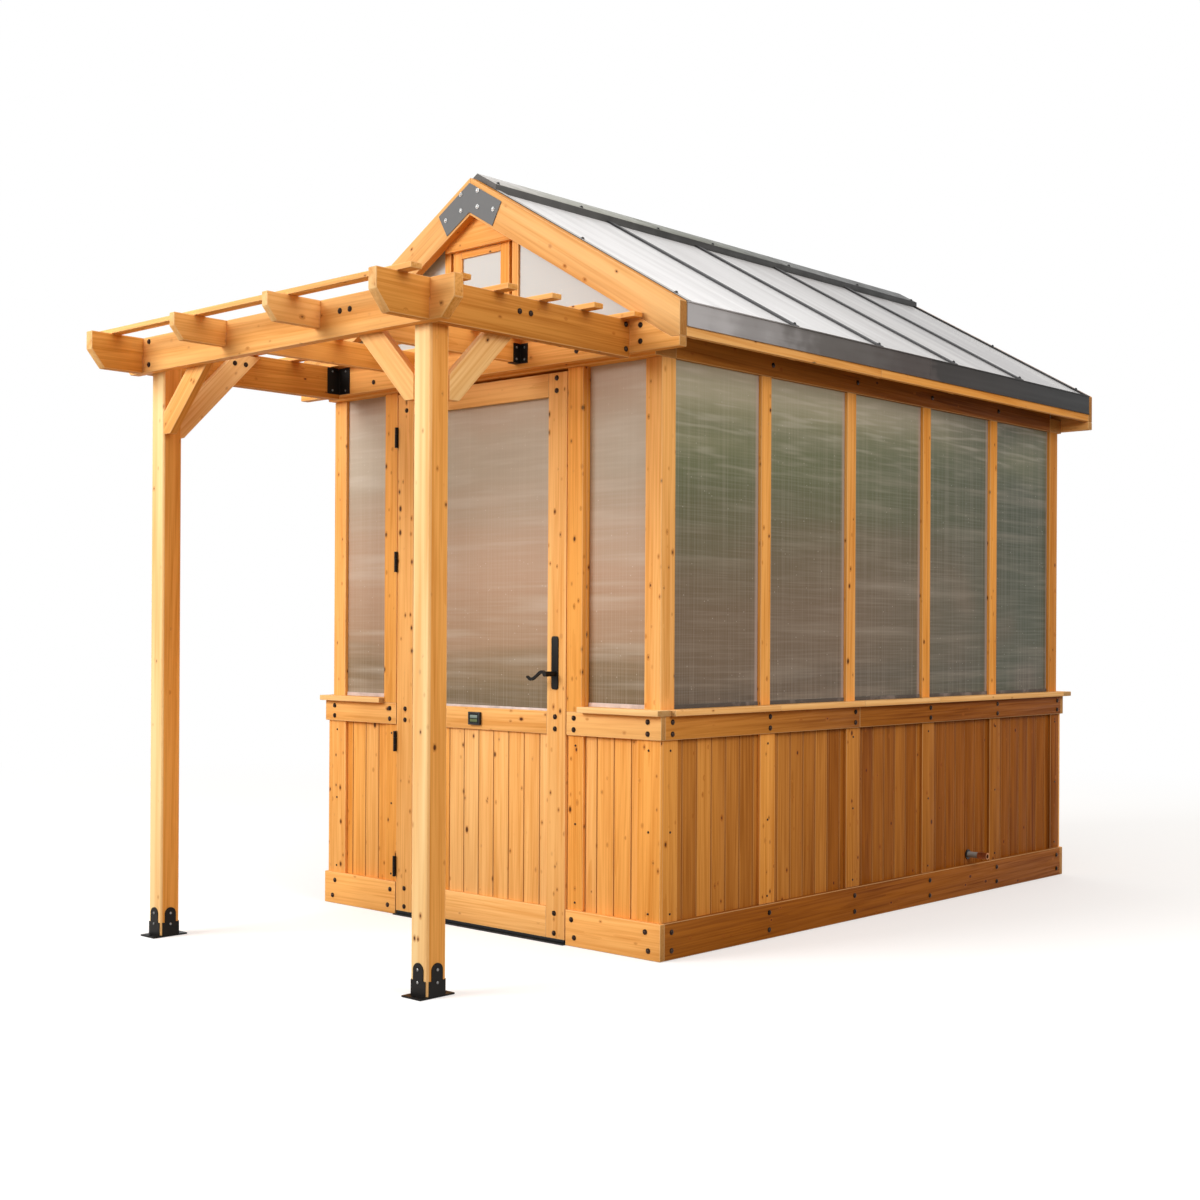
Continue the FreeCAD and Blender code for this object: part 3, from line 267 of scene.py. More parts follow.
def opal_roof_sheet():
    """Opal twin-wall polycarbonate: milky, faint ribs down the slope, and painted light that greys it towards
    the back, in streaks.
    """
    sheet, tree = new_finish("opal_roof_sheet")
    place = add_node(tree, "TexCoord").outputs["Object"]
    axes = add_node(tree, "SeparateXYZ", {0: place})
    # Streaks 70 mm wide that run down the slope.
    streak_place = add_node(tree, "Mapping", {"Vector": place, "Scale": (1.6, 14.0, 1.6)}).outputs[0]
    streak = add_node(tree, "TexNoise", {"Vector": streak_place, "Scale": 1.0, "Detail": 2.0}).outputs["Fac"]
    drift = add_node(tree, "MapRange", {0: streak, 1: 0.25, 2: 0.75, 3: -0.15, 4: 0.15},
                     clamp=False).outputs[0]
    # Painted light: white at the front, greyer towards the back, broken by the streaks.
    back = add_node(tree, "MapRange", {0: axes.outputs["Y"], 1: 0.0, 2: HOUSE_DEPTH}).outputs[0]
    back = add_node(tree, "Math", {0: back, 1: drift}, operation="ADD", use_clamp=True).outputs[0]
    milk_shading_stops = [(0.0, "#F7F7F9"), (0.24, "#DFDFE1"), (0.6, "#C4C3C4"), (0.85, "#AEADAF"), (1.0, "#C6C6C7")]
    milk_and_shading = add_node(tree, "ValToRGB", {0: back}, stops=milk_shading_stops).outputs[0]
    # Ribs are 6 mm apart in the real sheet; drawn 32 mm apart and faint, so that they blend far off.
    run = add_node(tree, "CombineXYZ", {"X": axes.outputs["Y"]}).outputs[0]
    ribs = add_node(tree, "TexWave", {"Vector": run, "Scale": 9.8}, wave_profile="SIN").outputs["Fac"]
    rib_part = add_node(tree, "Math", {0: ribs, 1: 0.03}, operation="MULTIPLY").outputs[0]
    milk_and_shading = add_node(tree, "Mix", {0: rib_part, 6: milk_and_shading, 7: linear("#B9B9BB")}, data_type="RGBA").outputs[2]
    gloss = add_node(tree, "MapRange", {0: streak, 1: 0.3, 2: 0.7, 3: 0.3, 4: 0.42}).outputs[0]
    relief = add_node(tree, "Bump", {"Strength": 0.1, "Distance": 0.001, "Height": streak}).outputs[0]
    shader = add_node(tree, "BsdfPrincipled", {"Base Color": milk_and_shading, "Roughness": gloss, "Normal": relief,
                                               "IOR": 1.58, "Transmission Weight": 0.05})
    add_node(tree, "OutputMaterial", {"Surface": shader.outputs[0]})
    return sheet


def coated_metal(name, colour, worn, roughness, grit, shine=0.3):
    """Powder-coated sheet: an even coat with a fine orange peel, faint dust, and worn edges."""
    # Orange peel is about 1 mm across in a real coat; grit is how coarse it is drawn, in millimetres, so that
    # it shows. Dust lies in patches of 140 mm.
    coat, tree = new_finish(name)
    place = add_node(tree, "TexCoord").outputs["Object"]
    arris = add_node(tree, "Attribute", attribute_name="arris").outputs["Fac"]
    peel = add_node(tree, "TexNoise", {"Vector": place, "Scale": 1000.0 / grit, "Detail": 2.0}).outputs["Fac"]
    mottle = add_node(tree, "TexNoise", {"Vector": place, "Scale": 7.0, "Detail": 4.0}).outputs["Fac"]
    dust_part = add_node(tree, "MapRange", {0: mottle, 1: 0.4, 2: 0.75, 3: 0.0, 4: 0.16}).outputs[0]
    rub_part = add_node(tree, "MapRange", {0: peel, 1: 0.3, 2: 0.7, 3: 0.1, 4: 0.7}).outputs[0]
    rubbed = add_node(tree, "Math", {0: arris, 1: rub_part}, operation="MULTIPLY").outputs[0]
    paint = linear(colour)
    for share in (dust_part, rubbed):
        paint = add_node(tree, "Mix", {0: share, 6: paint, 7: linear(worn)}, data_type="RGBA").outputs[2]
    gloss = add_node(tree, "MapRange", {0: mottle, 1: 0.3, 2: 0.7, 3: roughness - 0.06,
                                        4: roughness + 0.1}).outputs[0]
    relief = add_node(tree, "Bump", {"Strength": 0.2, "Distance": 0.0002, "Height": peel}).outputs[0]
    shader = add_node(tree, "BsdfPrincipled", {"Base Color": paint, "Roughness": gloss, "Normal": relief,
                                               "IOR": 1.5, "Specular IOR Level": shine})
    add_node(tree, "OutputMaterial", {"Surface": shader.outputs[0]})
    return coat


def bare_metal(name, colour, dull, roughness, grit):
    """Plated or bare metal: bright, with patches of dulling and a fine turned or rolled texture."""
    # Dull patches of 22 mm; grit is how coarse the texture is drawn, in millimetres, coarser than the real
    # one so that it shows.
    metal, tree = new_finish(name)
    place = add_node(tree, "TexCoord").outputs["Object"]
    patch = add_node(tree, "TexNoise", {"Vector": place, "Scale": 45.0, "Detail": 4.0}).outputs["Fac"]
    fine = add_node(tree, "TexNoise", {"Vector": place, "Scale": 1000.0 / grit, "Detail": 2.0}).outputs["Fac"]
    dull_part = add_node(tree, "MapRange", {0: patch, 1: 0.35, 2: 0.7}).outputs[0]
    skin = add_node(tree, "Mix", {0: dull_part, 6: linear(colour), 7: linear(dull)},
                    data_type="RGBA").outputs[2]
    gloss = add_node(tree, "MapRange", {0: patch, 1: 0.3, 2: 0.7, 3: roughness - 0.06,
                                        4: roughness + 0.12}).outputs[0]
    relief = add_node(tree, "Bump", {"Strength": 0.15, "Distance": 0.0002, "Height": fine}).outputs[0]
    shader = add_node(tree, "BsdfPrincipled", {"Base Color": skin, "Roughness": gloss, "Normal": relief,
                                               "Metallic": 1.0})
    add_node(tree, "OutputMaterial", {"Surface": shader.outputs[0]})
    return metal


def moulded_plastic(name, colour, paler, roughness, grit):
    """Moulded plastic or rubber: an even colour, a fine spark-eroded texture, and paler rubbed edges."""
    return coated_metal(name, colour, paler, roughness, grit)


def flashing_aluminium():
    """Painted aluminium flashing: satin, with a painted reflection that is pale at the front and darker
    behind, and rolled streaks along it.
    """
    sheet, tree = new_finish("flashing_aluminium")
    place = add_node(tree, "TexCoord").outputs["Object"]
    axes = add_node(tree, "SeparateXYZ", {0: place})
    # Streaks of the rolling mill, 25 mm tall and two thirds of a metre long.
    streak_place = add_node(tree, "Mapping", {"Vector": place, "Scale": (40.0, 1.5, 40.0)}).outputs[0]
    streak = add_node(tree, "TexNoise", {"Vector": streak_place, "Scale": 1.0, "Detail": 4.0}).outputs["Fac"]
    # Patches of 150 mm, which with the streaks mottle the painted reflection.
    patch = add_node(tree, "TexNoise", {"Vector": place, "Scale": 6.5, "Detail": 3.0}).outputs["Fac"]
    drift = add_node(tree, "Math", {0: streak, 1: 0.5, 2: patch}, operation="MULTIPLY_ADD").outputs[0]
    drift = add_node(tree, "MapRange", {0: drift, 1: 0.5, 2: 1.0, 3: -0.06, 4: 0.06}).outputs[0]
    back = add_node(tree, "MapRange", {0: axes.outputs["Y"], 1: 0.0, 2: HOUSE_DEPTH}).outputs[0]
    back = add_node(tree, "Math", {0: back, 1: drift}, operation="ADD", use_clamp=True).outputs[0]
    # Painted reflection: pale at the front, near black at the back.
    reflection_stops = [(0.0, "#B0AFB3"), (0.16, "#908E90"), (0.27, "#5C5856"), (0.5, "#423936"),
                   (0.55, "#221A15"), (1.0, "#080605")]
    paint = add_node(tree, "ValToRGB", {0: back}, stops=reflection_stops).outputs[0]
    gloss = add_node(tree, "MapRange", {0: streak, 1: 0.3, 2: 0.7, 3: 0.34, 4: 0.48}).outputs[0]
    relief = add_node(tree, "Bump", {"Strength": 0.15, "Distance": 0.0003, "Height": streak}).outputs[0]
    shader = add_node(tree, "BsdfPrincipled", {"Base Color": paint, "Roughness": gloss, "Normal": relief,
                                               "IOR": 1.5, "Specular IOR Level": 0.25})
    add_node(tree, "OutputMaterial", {"Surface": shader.outputs[0]})
    return sheet


def charcoal_cap_lit_and_shaded():
    """Charcoal powder coat on the ridge, with painted light: dark on its upright sides, paler where it faces
    up, and darker towards the back, mottled in patches.
    """
    coat, tree = new_finish("charcoal_coat_painted_light")
    place = add_node(tree, "TexCoord").outputs["Object"]
    axes = add_node(tree, "SeparateXYZ", {0: place})
    upward = add_node(tree, "Attribute", attribute_name="upward").outputs["Fac"]
    # Mottling in patches of 90 mm, in the painted light, the gloss and the relief.
    mottle = add_node(tree, "TexNoise", {"Vector": place, "Scale": 11.0, "Detail": 4.0}).outputs["Fac"]
    drift = add_node(tree, "MapRange", {0: mottle, 1: 0.25, 2: 0.75, 3: -0.08, 4: 0.08}).outputs[0]
    back = add_node(tree, "MapRange", {0: axes.outputs["Y"], 1: 0.0, 2: HOUSE_DEPTH}).outputs[0]
    back = add_node(tree, "Math", {0: back, 1: drift}, operation="ADD", use_clamp=True).outputs[0]
    # Painted light: faces that look up are lit pale, upright sides shaded dark, and both darken towards the
    # back.
    lit_top_stops = [(0.0, "#C4C2C0"), (0.15, "#A8A9A2"), (0.4, "#787A70"), (0.7, "#585957"), (1.0, "#424242")]
    shaded_side_stops = [(0.0, "#545352"), (0.4, "#302F2D"), (1.0, "#222121")]
    top = add_node(tree, "ValToRGB", {0: back}, stops=lit_top_stops).outputs[0]
    side = add_node(tree, "ValToRGB", {0: back}, stops=shaded_side_stops).outputs[0]
    paint = add_node(tree, "Mix", {0: upward, 6: side, 7: top}, data_type="RGBA").outputs[2]
    gloss = add_node(tree, "MapRange", {0: mottle, 1: 0.3, 2: 0.7, 3: 0.36, 4: 0.52}).outputs[0]
    relief = add_node(tree, "Bump", {"Strength": 0.1, "Distance": 0.0003, "Height": mottle}).outputs[0]
    shader = add_node(tree, "BsdfPrincipled", {"Base Color": paint, "Roughness": gloss, "Normal": relief,
                                               "IOR": 1.5, "Specular IOR Level": 0.25})
    add_node(tree, "OutputMaterial", {"Surface": shader.outputs[0]})
    return coat


def glazing_channel():
    """Pale plastic channel under the panes: patchy grime, light at the ends of the house, and painted shade
    that makes it dark at its sides.
    """
    channel, tree = new_finish("pale_pvc_channel")
    place = add_node(tree, "TexCoord").outputs["Object"]
    axes = add_node(tree, "SeparateXYZ", {0: place})
    # Grime in runs of 60 mm; painted shade darkens the channels of the side walls, which lie more than 0.8 m
    # out.
    grime = add_node(tree, "TexNoise", {"Vector": place, "Scale": 16.0, "Detail": 4.0}).outputs["Fac"]
    out = add_node(tree, "Math", {0: axes.outputs["X"]}, operation="ABSOLUTE").outputs[0]
    side = add_node(tree, "MapRange", {0: out, 1: 0.80, 2: 0.83, 3: 0.0, 4: 0.85}).outputs[0]
    film = add_node(tree, "MapRange", {0: grime, 1: 0.35, 2: 0.7, 3: 0.0, 4: 0.35}).outputs[0]
    shade_and_grime = add_node(tree, "Math", {0: side, 1: film}, operation="ADD", use_clamp=True).outputs[0]
    shade = add_node(tree, "Mix", {0: shade_and_grime, 6: linear("#DCCBC5"), 7: linear("#4E4741")},
                     data_type="RGBA").outputs[2]
    gloss = add_node(tree, "MapRange", {0: grime, 1: 0.3, 2: 0.7, 3: 0.35, 4: 0.6}).outputs[0]
    relief = add_node(tree, "Bump", {"Strength": 0.1, "Distance": 0.0002, "Height": grime}).outputs[0]
    shader = add_node(tree, "BsdfPrincipled", {"Base Color": shade, "Roughness": gloss, "Normal": relief,
                                               "IOR": 1.5, "Specular IOR Level": 0.3})
    add_node(tree, "OutputMaterial", {"Surface": shader.outputs[0]})
    return channel


def liquid_crystal(low, high):
    """Liquid crystal panel: an olive row below a paler one, a dark line between, and a black surround."""
    panel, tree = new_finish("liquid_crystal")
    place = add_node(tree, "TexCoord").outputs["Object"]
    surround = add_node(tree, "Attribute", attribute_name="surround").outputs["Fac"]
    height = add_node(tree, "SeparateXYZ", {0: place}).outputs["Z"]
    # A faint unevenness of 6 mm in the rows.
    film = add_node(tree, "TexNoise", {"Vector": place, "Scale": 160.0, "Detail": 2.0}).outputs["Fac"]
    row = add_node(tree, "MapRange", {0: height, 1: low, 2: high, 3: -0.04, 4: 0.96}, clamp=False).outputs[0]
    row = add_node(tree, "Math", {0: film, 1: 0.08, 2: row}, operation="MULTIPLY_ADD").outputs[0]
    row_stops = [(0.0, "#4A5636"), (0.38, "#66734A"), (0.46, "#2A3128"), (0.52, "#2A3128"),
                 (0.60, "#7C8C86"), (1.0, "#94A39D")]
    rows = add_node(tree, "ValToRGB", {0: row}, stops=row_stops).outputs[0]
    face = add_node(tree, "Mix", {0: surround, 6: rows, 7: linear("#0D0D0E")}, data_type="RGBA").outputs[2]
    gloss = add_node(tree, "MapRange", {0: film, 1: 0.3, 2: 0.7, 3: 0.3, 4: 0.4}).outputs[0]
    relief = add_node(tree, "Bump", {"Strength": 0.05, "Distance": 0.0002, "Height": film}).outputs[0]
    shader = add_node(tree, "BsdfPrincipled", {"Base Color": face, "Roughness": gloss, "Normal": relief,
                                               "IOR": 1.5, "Specular IOR Level": 0.2})
    add_node(tree, "OutputMaterial", {"Surface": shader.outputs[0]})
    return panel


def only(piece):
    """Make one object the only one selected."""
    bpy.ops.object.select_all(action="DESELECT")
    piece.select_set(True)
    bpy.context.view_layer.objects.active = piece


def edit_faces(piece, wanted):
    """Open a piece in edit mode with just the wanted faces selected."""
    only(piece)
    bpy.ops.object.mode_set(mode="EDIT")
    bpy.ops.mesh.select_mode(type="FACE")
    bpy.ops.mesh.select_all(action="DESELECT")
    bpy.ops.object.mode_set(mode="OBJECT")
    piece.data.polygons.foreach_set("select", [wanted(face) for face in piece.data.polygons])
    bpy.ops.object.mode_set(mode="EDIT")


def number_boards(mesh):
    """Give each face its board's number: the triangles come board by board, and each board is closed."""
    # Corners are compared to a hundredth of a millimetre.
    numbers = []
    open_edges = set()
    board = 0
    for face in mesh.polygons:
        corners = [tuple(round(c * 100000) for c in mesh.vertices[i].co) for i in face.vertices]
        for a, b in zip(corners, corners[1:] + corners[:1]):
            if (b, a) in open_edges:
                open_edges.remove((b, a))
            else:
                open_edges.add((a, b))
        numbers.append(board)
        if not open_edges:
            board += 1
    mesh.attributes.new("board", "INT", "FACE").data.foreach_set("value", numbers)
    return numbers[-1] + 1


def board_frames(mesh, count):
    """For each board: its middle, the way along its longest edge, and the way through its broadest face."""
    # An edge or a face has to win by a clear margin, so that rounding can't change the choice.
    owner = [0] * len(mesh.polygons)
    mesh.attributes["board"].data.foreach_get("value", owner)
    points = [[] for _ in range(count)]
    longest = [Vector((0, 0, 0.001))] * count
    for face in mesh.polygons:
        corners = [mesh.vertices[i].co for i in face.vertices]
        points[owner[face.index]] += corners
        for a, b in zip(corners, corners[1:] + corners[:1]):
            if (b - a).length > longest[owner[face.index]].length + 1e-6:
                longest[owner[face.index]] = b - a
    through = [(0.0, Vector((1, 0, 0)))] * count
    for face in mesh.polygons:
        board = owner[face.index]
        if abs(face.normal.dot(longest[board].normalized())) < 0.05 and face.area > through[board][0] + 1e-9:
            through[board] = (face.area, face.normal.copy())
    frames = []
    for board in range(count):
        low = Vector([min(p[i] for p in points[board]) for i in range(3)])
        high = Vector([max(p[i] for p in points[board]) for i in range(3)])
        frames.append((low, high, longest[board].normalized(), through[board][1]))
    return frames


def eased_copy(node, name, edge, steps, finish):
    """A copy of a CAD node with each board's edges eased, riding on the node's body in its place."""
    source = frame["nodes"][node]
    piece = bpy.data.objects.new(name, source.data.copy())
    bpy.context.scene.collection.objects.link(piece)
    mesh = piece.data
    only(piece)
    bpy.ops.mesh.customdata_custom_splitnormals_clear()
    count = number_boards(mesh)
    for board in range(count):
        edit_faces(piece, lambda face: mesh.attributes["board"].data[face.index].value == board)
        bpy.ops.mesh.remove_doubles(threshold=SAME_CORNER)
        bpy.ops.object.mode_set(mode="OBJECT")
    bpy.ops.object.mode_set(mode="EDIT")
    bpy.ops.mesh.select_all(action="SELECT")
    bpy.ops.mesh.dissolve_limited(angle_limit=SAME_PLANE)
    bpy.ops.object.mode_set(mode="OBJECT")
    frames = board_frames(mesh, count)
    mesh.materials.clear()
    mesh.materials.append(finish)
    mesh.materials.append(finish)
    ease = piece.modifiers.new("eased edges", "BEVEL")
    ease.width = edge
    ease.segments = steps
    ease.limit_method = "ANGLE"
    ease.angle_limit = math.radians(30)
    ease.use_clamp_overlap = False
    ease.material = 1
    bpy.ops.object.modifier_apply(modifier=ease.name)
    arris = [float(face.material_index) for face in mesh.polygons]
    mesh.attributes.new("arris", "FLOAT", "FACE").data.foreach_set("value", arris)
    for face in mesh.polygons:
        face.material_index = 0
    mesh.materials.pop()
    bpy.ops.object.shade_smooth_by_angle(angle=math.radians(35))
    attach(piece, source["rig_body"])
    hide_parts(node)
    return piece, frames


def lay_grain(piece, frames, tones, shaded_side_tones, painted_front_light, grooved, end_shade, knotty, seed):
    """Give each board its own run of wood: grain along its length, a pith beside it, and a tone, deeper with
    painted shade where it faces the sides; faces that look to the front get painted light.
    """
    mesh = piece.data
    chance = random.Random(seed)
    woods = []
    # The grain runs up to 2 in 100 off the board's length, and the pith lies 35 to 85 mm from its middle.
    for low, high, along, through in frames:
        across = through.cross(along)
        tilt_across = chance.uniform(-0.02, 0.02)
        tilt_through = chance.uniform(-0.012, 0.012)
        shift = Vector((chance.uniform(0.0, 9.0), chance.uniform(-0.03, 0.03), chance.uniform(0.035, 0.085)))
        tone = chance.uniform(*tones)
        shade_deepening = 0.0
        # Painted shade: boards that face the sides take the deeper side tones, deeper still towards the back.
        if abs(through.x) > SQUARE_ON:
            tone = chance.uniform(*shaded_side_tones)
            shade_deepening = SIDE_SHADE_DEEPENING
        middle = (low + high) / 2.0
        woods.append((middle, along, across, through, tilt_across, tilt_through, shift, tone, shade_deepening))
    owner = [0] * len(mesh.polygons)
    mesh.attributes["board"].data.foreach_get("value", owner)
    arris = [0.0] * len(mesh.polygons)
    mesh.attributes["arris"].data.foreach_get("value", arris)
    grain = [0.0] * (3 * len(mesh.vertices))
    tone_of = [0.0] * len(mesh.vertices)
    # End grain shows on faces that look along the board; slanted faces of grooved boards are V joints.
    end_of = []
    painted_front_light_of = []
    for face in mesh.polygons:
        wood = woods[owner[face.index]]
        middle, along, across, through, tilt_across, tilt_through, shift, tone, shade_deepening = wood
        end_of.append(end_shade * min(1.0, max(0.0, abs(face.normal.dot(along)) * 2.5 - 1.25)))
        # Painted light on faces that look to the front, the more the squarer they face it.
        painted_front_light_of.append(painted_front_light * max(0.0, -face.normal.y))
        slant = max(abs(face.normal.dot(way)) for way in (along, across, through)) < 0.97
        if grooved and slant:
            arris[face.index] = -1.0
        for i in face.vertices:
            place = mesh.vertices[i].co - middle
            run = place.dot(along)
            grain[3 * i] = run + shift.x
            grain[3 * i + 1] = place.dot(across) + tilt_across * run + shift.y
            grain[3 * i + 2] = place.dot(through) + tilt_through * run + shift.z
            tone_of[i] = tone + shade_deepening * (mesh.vertices[i].co.y - HOUSE_MIDDLE.y)
    mesh.attributes["arris"].data.foreach_set("value", arris)
    mesh.attributes.new("grain", "FLOAT_VECTOR", "POINT").data.foreach_set("vector", grain)
    mesh.attributes.new("tone", "FLOAT", "POINT").data.foreach_set("value", tone_of)
    mesh.attributes.new("end", "FLOAT", "FACE").data.foreach_set("value", end_of)
    mesh.attributes.new("painted_front_light", "FLOAT", "FACE").data.foreach_set("value", painted_front_light_of)
    mesh.attributes.new("knotty", "FLOAT", "FACE").data.foreach_set("value", [knotty] * len(mesh.polygons))


cedar = stained_cedar()

# Timbers: eased edge in metres; tone of boards that face front or back, then of boards that face the sides,
# deeper with painted shade, from 0, pale honey, to 1, deep brown; how much painted light the faces that look
# to the front get;
# and whether stain gathers in V joints.
TIMBERS = {
    "skirt_boards": (0.0025, (0.28, 0.38), (1.10, 1.14), 0.06, False),
    "knee_rails": (0.0025, (0.28, 0.40), (0.91, 0.95), 0.10, False),
    "sill_caps": (0.0025, (0.12, 0.25), (0.56, 0.62), 0.25, False),
    "front_wall_boards": (0.0012, (0.20, 0.48), (0.60, 0.90), 0.0, True),
    "side_wall_boards": (0.0012, (0.40, 0.70), (0.84, 1.02), 0.0, True),
    "rear_wall_boards": (0.0012, (0.45, 0.75), (0.60, 0.90), 0.0, True),
    "wall_battens": (0.0020, (0.32, 0.48), (0.68, 0.86), 0.0, False),
    "corner_posts": (0.0030, (0.46, 0.54), (0.46, 0.54), 0.0, False),
    "wall_studs": (0.0030, (0.38, 0.52), (0.38, 0.52), 0.0, False),
    "door_jambs": (0.0025, (0.40, 0.60), (0.40, 0.60), 0.0, False),
    "door_casings": (0.0025, (0.32, 0.46), (0.32, 0.46), 0.0, False),
    "door_stops": (0.0015, (0.40, 0.70), (0.40, 0.70), 0.0, False),
    "top_plates": (0.0025, (0.40, 0.60), (0.95, 1.00), 0.0, False),
    "gable_headers": (0.0025, (0.30, 0.42), (0.30, 0.42), 0.08, False),
    "rake_boards": (0.0030, (0.64, 0.74), (0.64, 0.74), 0.34, False),
    "gable_frames": (0.0020, (0.30, 0.50), (0.30, 0.50), 0.0, False),
    "peak_boards": (0.0020, (0.30, 0.50), (0.30, 0.50), 0.0, False),
    "ridge_beam": (0.0025, (0.30, 0.60), (0.30, 0.60), 0.0, False),
    "rafters": (0.0025, (0.30, 0.70), (0.30, 0.70), 0.0, False),
    "fascia_boards": (0.0025, (0.35, 0.48), (0.35, 0.48), 0.0, False),
    "pergola_posts": (0.0020, (0.70, 0.78), (0.70, 0.78), 0.80, False),
    "pergola_front_beam": (0.0030, (0.34, 0.44), (0.34, 0.44), 0.20, False),
    "pergola_side_beams": (0.0030, (0.70, 0.80), (0.96, 1.06), 0.50, False),
    "pergola_rafters": (0.0030, (0.55, 0.70), (0.60, 0.75), 0.50, False),
    "pergola_slats": (0.0020, (0.25, 0.60), (0.25, 0.60), 0.15, False),
    "pergola_braces": (0.0025, (0.25, 0.45), (0.25, 0.45), 0.25, False),
    "door_stiles": (0.0025, (0.28, 0.42), (0.28, 0.42), 0.05, False),
    "door_rails": (0.0025, (0.24, 0.36), (0.24, 0.36), 0.05, False),
    "door_boards": (0.0012, (0.20, 0.50), (0.20, 0.50), 0.0, True),
}
# Timbers cut from knottier wood, and the share of places with a knot in them and in the rest.
KNOTTY_TIMBERS = ("corner_posts", "wall_studs", "wall_battens", "door_jambs", "door_casings", "door_stiles")
MANY_KNOTS = 0.85
FEW_KNOTS = 0.34
board_places = {}
for node, (edge, tones, shaded_side_tones, painted_front_light, grooved) in TIMBERS.items():
    piece, board_places[node] = eased_copy(node, "planed_" + node, edge, 2, cedar)
    # The porch is sawn from paler, drier wood, so its ends stay light.
    end_shade = 0.25 if node.startswith("pergola") else 1.0
    knotty = MANY_KNOTS if node in KNOTTY_TIMBERS else FEW_KNOTS
    lay_grain(piece, board_places[node], tones, shaded_side_tones, painted_front_light, grooved, end_shade, knotty, node)

charcoal = coated_metal("charcoal_powder_coat", "#3B3B3C", "#77777A", 0.42, 3.0)
black = coated_metal("black_powder_coat", "#0F0C0A", "#37342F", 0.42, 3.0, 0.14)
gusset_paint = coated_metal("grey_painted_steel", "#5C5E60", "#868788", 0.46, 3.0)
flashing = flashing_aluminium()
cap_paint = charcoal_cap_lit_and_shaded()
channel_pvc = glazing_channel()
case_abs = moulded_plastic("black_abs", "#121213", "#3A3A3C", 0.4, 2.0)
sweep_rubber = moulded_plastic("black_rubber", "#151515", "#3A3938", 0.7, 2.0)
pipe_pvc = moulded_plastic("grey_pvc", "#8C8B88", "#B5B4B0", 0.45, 2.0)

# Sheet metal and plastic: eased edge, steps, finish and slot.
SHEETS = {
    "gable_gussets": (0.0006, 1, gusset_paint, "grey_steel"),
    "eave_flashings": (0.0005, 1, flashing, "pale_aluminium"),
    "glazing_bars": (0.0012, 2, charcoal, "charcoal_aluminium"),
    "rake_trims": (0.0012, 2, cap_paint, "charcoal_aluminium"),
    "ridge_cap": (0.0005, 1, cap_paint, "charcoal_aluminium"),
    "pergola_brackets": (0.0006, 1, black, "black_steel"),
    "pane_channels": (0.0006, 1, channel_pvc, "pale_plastic"),
    "thermometer_case": (0.0020, 2, case_abs, "black_plastic"),
    "door_sweep": (0.0015, 2, sweep_rubber, "black_rubber"),
    "threshold": (0.0010, 2, sweep_rubber, "black_rubber"),
}
for node, (edge, steps, finish, slot) in SHEETS.items():
    piece, board_places[node] = eased_copy(node, "finished_" + node, edge, steps, finish)
    # Nought on upright faces, one on those that face up, where the ridge and trim paint takes its painted
    # light.
    upward = [min(1.0, max(0.0, face.normal.z * 3.0 - 1.2)) for face in piece.data.polygons]
    piece.data.attributes.new("upward", "FLOAT", "FACE").data.foreach_set("value", upward)

# Tints of the wall and gable glazing, from the foot of the panes to their head: painted reflections of the
# garden in the wall panes, and painted light shining through the gable panes.
FRONT_PAINTED_REFLECTION = [(0.0, "#6A5A40"), (0.10, "#7E6A4A"), (0.20, "#AA886A"), (0.40, "#B9957A"), (0.55, "#BC9E85"),
               (0.70, "#B3A38E"), (0.82, "#C4B6A2"), (0.92, "#CAB7A3"), (1.0, "#BEA590")]
SIDE_PAINTED_REFLECTION = [(0.0, "#4E4436"), (0.10, "#705B44"), (0.28, "#725C44"), (0.46, "#695A3E"), (0.58, "#5B5C3A"),
              (0.74, "#5E663F"), (0.86, "#8F8D6A"), (1.0, "#C4BAA4")]
GABLE_PAINTED_LIGHT = [(0.0, "#BFC1C0"), (0.5, "#CACDCD"), (1.0, "#D0D5D6")]
# Heights of the foot and head of the panes.
WALL_PANES = (0.80, 1.99)
GABLE_PANES = (2.05, 2.6)
wall_sheet = twin_wall_sheet("end_twin_wall_painted_reflection", WALL_PANES, FRONT_PAINTED_REFLECTION, 0.42, 0.3, None)
side_sheet = twin_wall_sheet("side_twin_wall_painted_reflection", WALL_PANES, SIDE_PAINTED_REFLECTION, 0.15, 0.95, FIRST_POST)
gable_sheet = twin_wall_sheet("clear_twin_wall", GABLE_PANES, GABLE_PAINTED_LIGHT, 0.0, 0.0, None)
roof_sheet = opal_roof_sheet()
bronze = bare_metal("bronzed_steel", "#3E3029", "#1E1713", 0.36, 2.0)
zinc = bare_metal("zinc_plated_steel", "#C9C9C8", "#9A9A98", 0.36, 2.0)
dull_zinc = bare_metal("dulled_zinc_screws", "#8E8D8B", "#545352", 0.38, 2.0)
copper = bare_metal("copper_fitting", "#C98A5E", "#8A5636", 0.36, 2.0)

CAD_FINISHES = {
    "side_wall_panes": side_sheet,
    "end_wall_panes": wall_sheet,
    "door_pane": wall_sheet,
    "gable_panes": gable_sheet,
    "roof_panels": roof_sheet,
    "wall_bolts": bronze,
    "porch_bolts": bronze,
    "door_bolts": bronze,
    "gusset_bolts": zinc,
    "hinge_pins": zinc,
    "strike_plate": zinc,
    "latch_bolt": zinc,
    "frame_hinge_leaves": black,
    "door_hinge_leaves": black,
    "door_levers": black,
    "post_bases": black,
    "hose_pipe": pipe_pvc,
    "hose_flange": case_abs,
    "hose_fitting": copper,
}
for node, finish in CAD_FINISHES.items():
    for place in frame["nodes"][node].material_slots:
        place.material = finish


